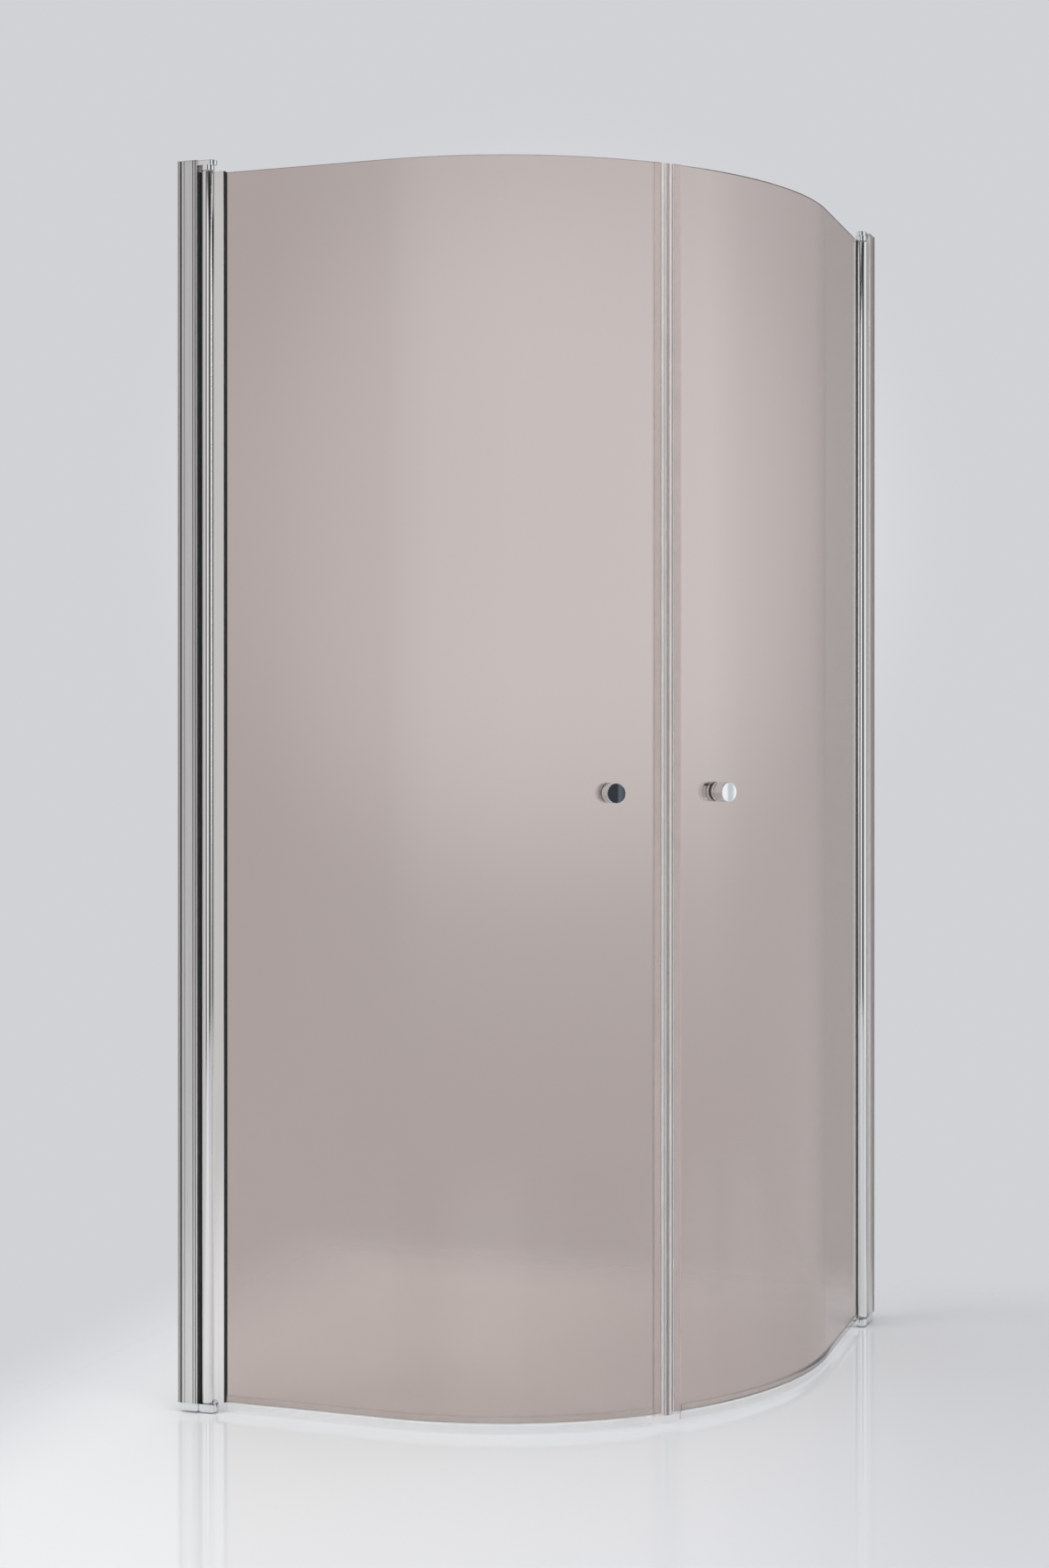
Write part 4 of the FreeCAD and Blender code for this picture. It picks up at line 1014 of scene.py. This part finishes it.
class ENCLOSURE_OT_fixings(bpy.types.Operator):
    """Make the screws inside the enclosure that hold the posts and brackets, and their caps"""

    bl_idname = "enclosure.fixings"
    bl_label = "Fixings"

    def execute(self, context):
        face, cap_wall = POST_HIGH[1], 1.2 * MM
        lock_head, lock_shank, bracket_shank = 3.5 * MM, 1.75 * MM, 2 * MM
        low, high = reach("left_lock_screws")
        across, wide = (low[0] + high[0]) / 2, (high - low)[0]
        spots = np.linspace(low[2], high[2] - wide, 3) + wide / 2
        screws = [pan_screw((across, face, height), lock_head, high[1] - face, lock_shank,
                            face - low[1]) for height in spots]
        fit("post_screws", ["lock_screws"], WALL, "stainless_steel", screws)
        low, high = reach("left_lock_screw_caps")
        radius, tall, wall = (high - low)[0] / 2, high[1] - face, cap_wall
        dome = rounded([(0, tall - wall, 0), (radius - wall, tall - wall, 0.3 * MM),
                        (radius - wall, 0, 0), (radius, 0, 0.15 * MM), (radius, tall, wall),
                        (0, tall + 1e-5, 0)])
        fit("screw_caps", ["lock_screw_caps"], WALL, "grey_plastic",
            [turned(dome, (across, face, height), INWARDS, 48) for height in spots])
        for name in ("top_bracket_screw", "bottom_bracket_screw"):
            low, high = reach(f"left_{name}")
            spot = (across, face, (low[2] + high[2]) / 2)
            fit(f"{name}_steel", [name], WALL, "stainless_steel",
                [pan_screw(spot, (high - low)[2] / 2, high[1] - face, bracket_shank,
                           face - low[1])])
        return {"FINISHED"}


def pan_screw(spot, head, tall, shank, length_in):
    """Pan-head screw with a six-sided recess, turned about y: the rows of the recess are
    hexagons, and the head is a rounded rim that meets the face at its foot."""
    recess, deep = head * 0.46, tall * 0.65
    tip, taper = shank * 0.75, 0.6 * MM
    body = rounded([(0, -length_in, 0), (tip, -length_in, 0.2 * MM),
                    (shank, taper - length_in, 0), (shank, 0, 0), (head, 0, 0.1 * MM),
                    (head, tall, 0.7 * MM), (recess, tall, 0.1 * MM), (recess, tall - deep, 0),
                    (0, tall - deep, 0)])
    sided = (body[:, 0] < recess + 0.11 * MM) & (body[:, 1] > tall - deep - 1e-6) & (body[:, 0] > 0)
    return turned(body, spot, INWARDS, 48, sided)


class ENCLOSURE_OT_stage(bpy.types.Operator):
    """Make the pale floor, the backdrop, the soft light and the camera"""

    bl_idname = "enclosure.stage"
    bl_label = "Stage"

    def execute(self, context):
        settings = context.scene.enclosure.stage
        make_floor(settings)
        make_world(settings)
        for lamp in LAMPS:
            add_lamp(*lamp)
        make_surround(settings)
        make_ceiling(settings)
        add_camera(context, settings)
        context.scene.view_settings.view_transform = "Standard"
        return {"FINISHED"}


def make_floor(settings):
    """Round floor: rings of points whose radius grows with the square of the ring's number. Its colour
    darkens along x towards the right, a painted shade across the floor. It fades to nothing towards the
    rim and past the lines of the two walls, where the backdrop takes over."""
    rings, steps = 24, 128
    turn = np.linspace(0, 2 * np.pi, steps, endpoint=False)
    radius = FLOOR_RADIUS * np.linspace(0.02, 1, rings) ** 2
    points = np.stack([radius[:, None] * np.cos(turn), radius[:, None] * np.sin(turn),
                       np.zeros((rings, steps))], -1).reshape(-1, 3)
    mesh = bpy.data.meshes.new("floor")
    mesh.from_pydata(points.tolist(), [], skin(rings, steps)[:, ::-1].tolist()
                     + [list(range(steps))])
    floor = bpy.data.objects.new("floor", mesh)
    bpy.context.collection.objects.link(floor)
    recipe = Recipe("pale_floor", settings.floor, Roughness=0.2)
    recipe.gloss(recipe.noise((6, 6, 6), 4), 0.05, 0.08)
    tree = recipe.tree
    place = node(tree, "TexCoord").outputs["Object"]
    parts = node(tree, "SeparateXYZ", {0: place}).outputs
    # Painted shade: the floor's colour darkens from left to right along x.
    recipe.drive("Base Color", ramp(tree, spread(tree, parts["X"], *FLOOR_SHADE_REACH),
                                    [(0.0, settings.floor), (1.0, settings.floor_shaded_right)]))
    away = node(tree, "VectorMath", {0: place}, operation="LENGTH").outputs["Value"]
    past = maths(tree, "MAXIMUM", maths(tree, "SUBTRACT", CAD_BOX[0][0], parts["X"]),
                 maths(tree, "SUBTRACT", parts["Y"], CAD_BOX[1][1]))
    faded = maths(tree, "MAXIMUM", spread(tree, past, 0.0, WALL_FADE, kind="SMOOTHSTEP"),
                  spread(tree, away, *RIM_FADE, kind="SMOOTHSTEP"))
    blend(tree, faded, recipe.shader.outputs["BSDF"],
          node(tree, "BsdfTransparent").outputs["BSDF"])
    mesh.materials.append(recipe.material)


def make_world(settings):
    """Even room light for the object; camera, glossy and transmission rays see the backdrop."""
    world = bpy.data.worlds.new("room")
    bpy.context.scene.world = world
    world.use_nodes = True
    tree = world.node_tree
    light = tree.nodes["Background"]
    light.inputs["Color"].default_value = (1, 1, 1, 1)
    light.inputs["Strength"].default_value = settings.room_light
    place = node(tree, "TexCoord").outputs["Generated"]
    nearness = node(tree, "VectorMath", {0: place, 1: Vector(GLOW).normalized()},
                    operation="DOT_PRODUCT").outputs["Value"]
    glow = spread(tree, nearness, np.cos(np.radians(GLOW_REACH)), 1.0, 1.0, settings.glow,
                  "SMOOTHERSTEP")
    seen = node(tree, "Background", {"Color": (*settings.backdrop, 1), "Strength": glow})
    rays = node(tree, "LightPath").outputs
    either = maths(tree, "MAXIMUM", rays["Is Camera Ray"], rays["Is Glossy Ray"])
    any_of = maths(tree, "MAXIMUM", either, rays["Is Transmission Ray"])
    blend(tree, any_of, light.outputs["Background"], seen.outputs["Background"])


def facing(place, target):
    """Rotation that points -z from a place at a target."""
    return (Vector(target) - Vector(place)).to_track_quat("-Z", "Y").to_euler()


def add_lamp(name, place, size, power, target):
    """Soft rectangular lamp, whose own shape isn't mirrored in the floor or seen through the
    clear seals."""
    lamp = bpy.data.lights.new(name, "AREA")
    lamp.shape, lamp.size, lamp.size_y, lamp.energy = "RECTANGLE", *size, power
    thing = bpy.data.objects.new(name, lamp)
    thing.visible_glossy = thing.visible_transmission = False
    thing.location, thing.rotation_euler = place, facing(place, target)
    bpy.context.collection.objects.link(thing)


def reflector(name, points, faces):
    """Stage piece that shows only in reflections and lights nothing. Returns its bare material
    tree, whose glow the caller makes."""
    mesh = bpy.data.meshes.new(name)
    mesh.from_pydata(points.tolist(), [], faces)
    thing = bpy.data.objects.new(name, mesh)
    bpy.context.collection.objects.link(thing)
    thing.visible_camera = thing.visible_diffuse = thing.visible_shadow = False
    thing.visible_transmission = False
    material = bpy.data.materials.new(name)
    material.use_nodes = True
    material.node_tree.nodes.remove(material.node_tree.nodes["Principled BSDF"])
    mesh.materials.append(material)
    return material.node_tree


def bearings(tree, value, stops):
    """Colours by the bearing round the object. Each stop is (bearing in degrees, colour)."""
    first, last = SURROUND_REACH
    return ramp(tree, spread(tree, value, np.radians(first), np.radians(last)),
                [((bearing - first) / (last - first), shade) for bearing, shade in stops])


def make_surround(settings):
    """Curved screen round the front of the object: radius times (cos t, sin t) by height. Metal
    mirrors shades that follow the bearing. Sharp reflections, those of the glass, show an even
    shade instead, with a soft sheen that fades towards the floor."""
    turn = np.radians(np.linspace(*SURROUND_REACH, 117))
    ring = SURROUND_RADIUS * np.stack([np.cos(turn), np.sin(turn)], -1)
    points = np.vstack([np.column_stack([ring, np.full(len(turn), height)])
                        for height in SURROUND_HEIGHTS])
    first = np.arange(len(turn) - 1)
    faces = np.stack([first, first + 1, first + 1 + len(turn), first + len(turn)], -1).tolist()
    tree = reflector("surround", points, faces)
    place = node(tree, "TexCoord").outputs["Object"]
    parts = node(tree, "SeparateXYZ", {0: place}).outputs
    bearing = maths(tree, "ARCTAN2", parts["Y"], parts["X"])
    shades = node(tree, "Emission", {
        "Color": bearings(tree, bearing, SHADES),
        "Strength": spread(tree, parts["Z"], *SHADES_FADE, 1.0, SHADES_LEFT)})
    sheen = node(tree, "Emission", {
        "Color": bearings(tree, bearing, SHEEN),
        "Strength": spread(tree, parts["Z"], 0.0, SHEEN_RISE, 0.0, settings.sheen, "SMOOTHSTEP")})
    even = node(tree, "Emission", {
        "Color": (*settings.backdrop, 1),
        "Strength": spread(tree, bearing, *np.radians(EVEN_FADE), 1.0, EVEN_LEFT, "SMOOTHSTEP")})
    glass = node(tree, "AddShader", {0: sheen.outputs["Emission"], 1: even.outputs["Emission"]})
    sharp = node(tree, "LightPath").outputs["Is Singular Ray"]
    blend(tree, sharp, shades.outputs["Emission"], glass.outputs["Shader"])


def make_ceiling(settings):
    """Dark ceiling above the lamps, for the dark parts of the reflections in polished metal."""
    steps = 48
    turn = np.linspace(0, 2 * np.pi, steps, endpoint=False)
    points = np.stack([CEILING_RADIUS * np.cos(turn), CEILING_RADIUS * np.sin(turn),
                       np.full(steps, CEILING_HEIGHT)], -1)
    tree = reflector("ceiling", points, [list(range(steps))])
    glow = node(tree, "Emission", {"Color": (*settings.ceiling, 1)})
    tree.links.new(glow.outputs["Emission"], tree.nodes["Material Output"].inputs["Surface"])


def add_camera(context, settings):
    """Camera at the angle of the photograph."""
    camera = bpy.data.cameras.new("camera")
    camera.lens, camera.shift_y = settings.lens, settings.shift
    thing = bpy.data.objects.new("camera", camera)
    thing.location, thing.rotation_euler = settings.place, Euler(settings.aim)
    context.collection.objects.link(thing)
    context.scene.camera = thing


class ENCLOSURE_PT_panel(bpy.types.Panel):
    """Lists the steps that make the enclosure"""

    bl_label = "Enclosure"
    bl_idname = "ENCLOSURE_PT_panel"
    bl_space_type = "VIEW_3D"
    bl_region_type = "UI"
    bl_category = "Enclosure"

    def draw(self, context):
        for step in STEPS:
            self.layout.operator(step.bl_idname)
        for group in ("glass", "profiles", "seals", "brackets", "knobs", "finishes", "stage"):
            box = self.layout.box()
            settings = getattr(context.scene.enclosure, group)
            for name in settings.bl_rna.properties.keys():
                if name not in ("rna_type", "name"):
                    box.prop(settings, name)


STEPS = (ENCLOSURE_OT_finishes, ENCLOSURE_OT_posts, ENCLOSURE_OT_brackets, ENCLOSURE_OT_pivots,
         ENCLOSURE_OT_hinge_tubes, ENCLOSURE_OT_glass, ENCLOSURE_OT_seals, ENCLOSURE_OT_knobs,
         ENCLOSURE_OT_fixings, ENCLOSURE_OT_stage)
CLASSES = (GlassSizes, ProfileSizes, SealSizes, BracketSizes, KnobSizes, Finishes, StageSettings,
           Enclosure, *STEPS, ENCLOSURE_PT_panel)


def register():
    """Registers the classes and hangs the settings on the scene."""
    for kind in CLASSES:
        bpy.utils.register_class(kind)
    bpy.types.Scene.enclosure = PointerProperty(type=Enclosure)


def unregister():
    """Takes the settings and the classes away again."""
    del bpy.types.Scene.enclosure
    for kind in reversed(CLASSES):
        bpy.utils.unregister_class(kind)


def main():
    """Makes every piece and the stage."""
    register()
    bpy.ops.enclosure.finishes()
    bpy.ops.enclosure.posts()
    bpy.ops.enclosure.brackets()
    bpy.ops.enclosure.pivots()
    bpy.ops.enclosure.hinge_tubes()
    bpy.ops.enclosure.glass()
    bpy.ops.enclosure.seals()
    bpy.ops.enclosure.knobs()
    bpy.ops.enclosure.fixings()
    bpy.ops.enclosure.stage()


if __name__ == "__main__":
    main()
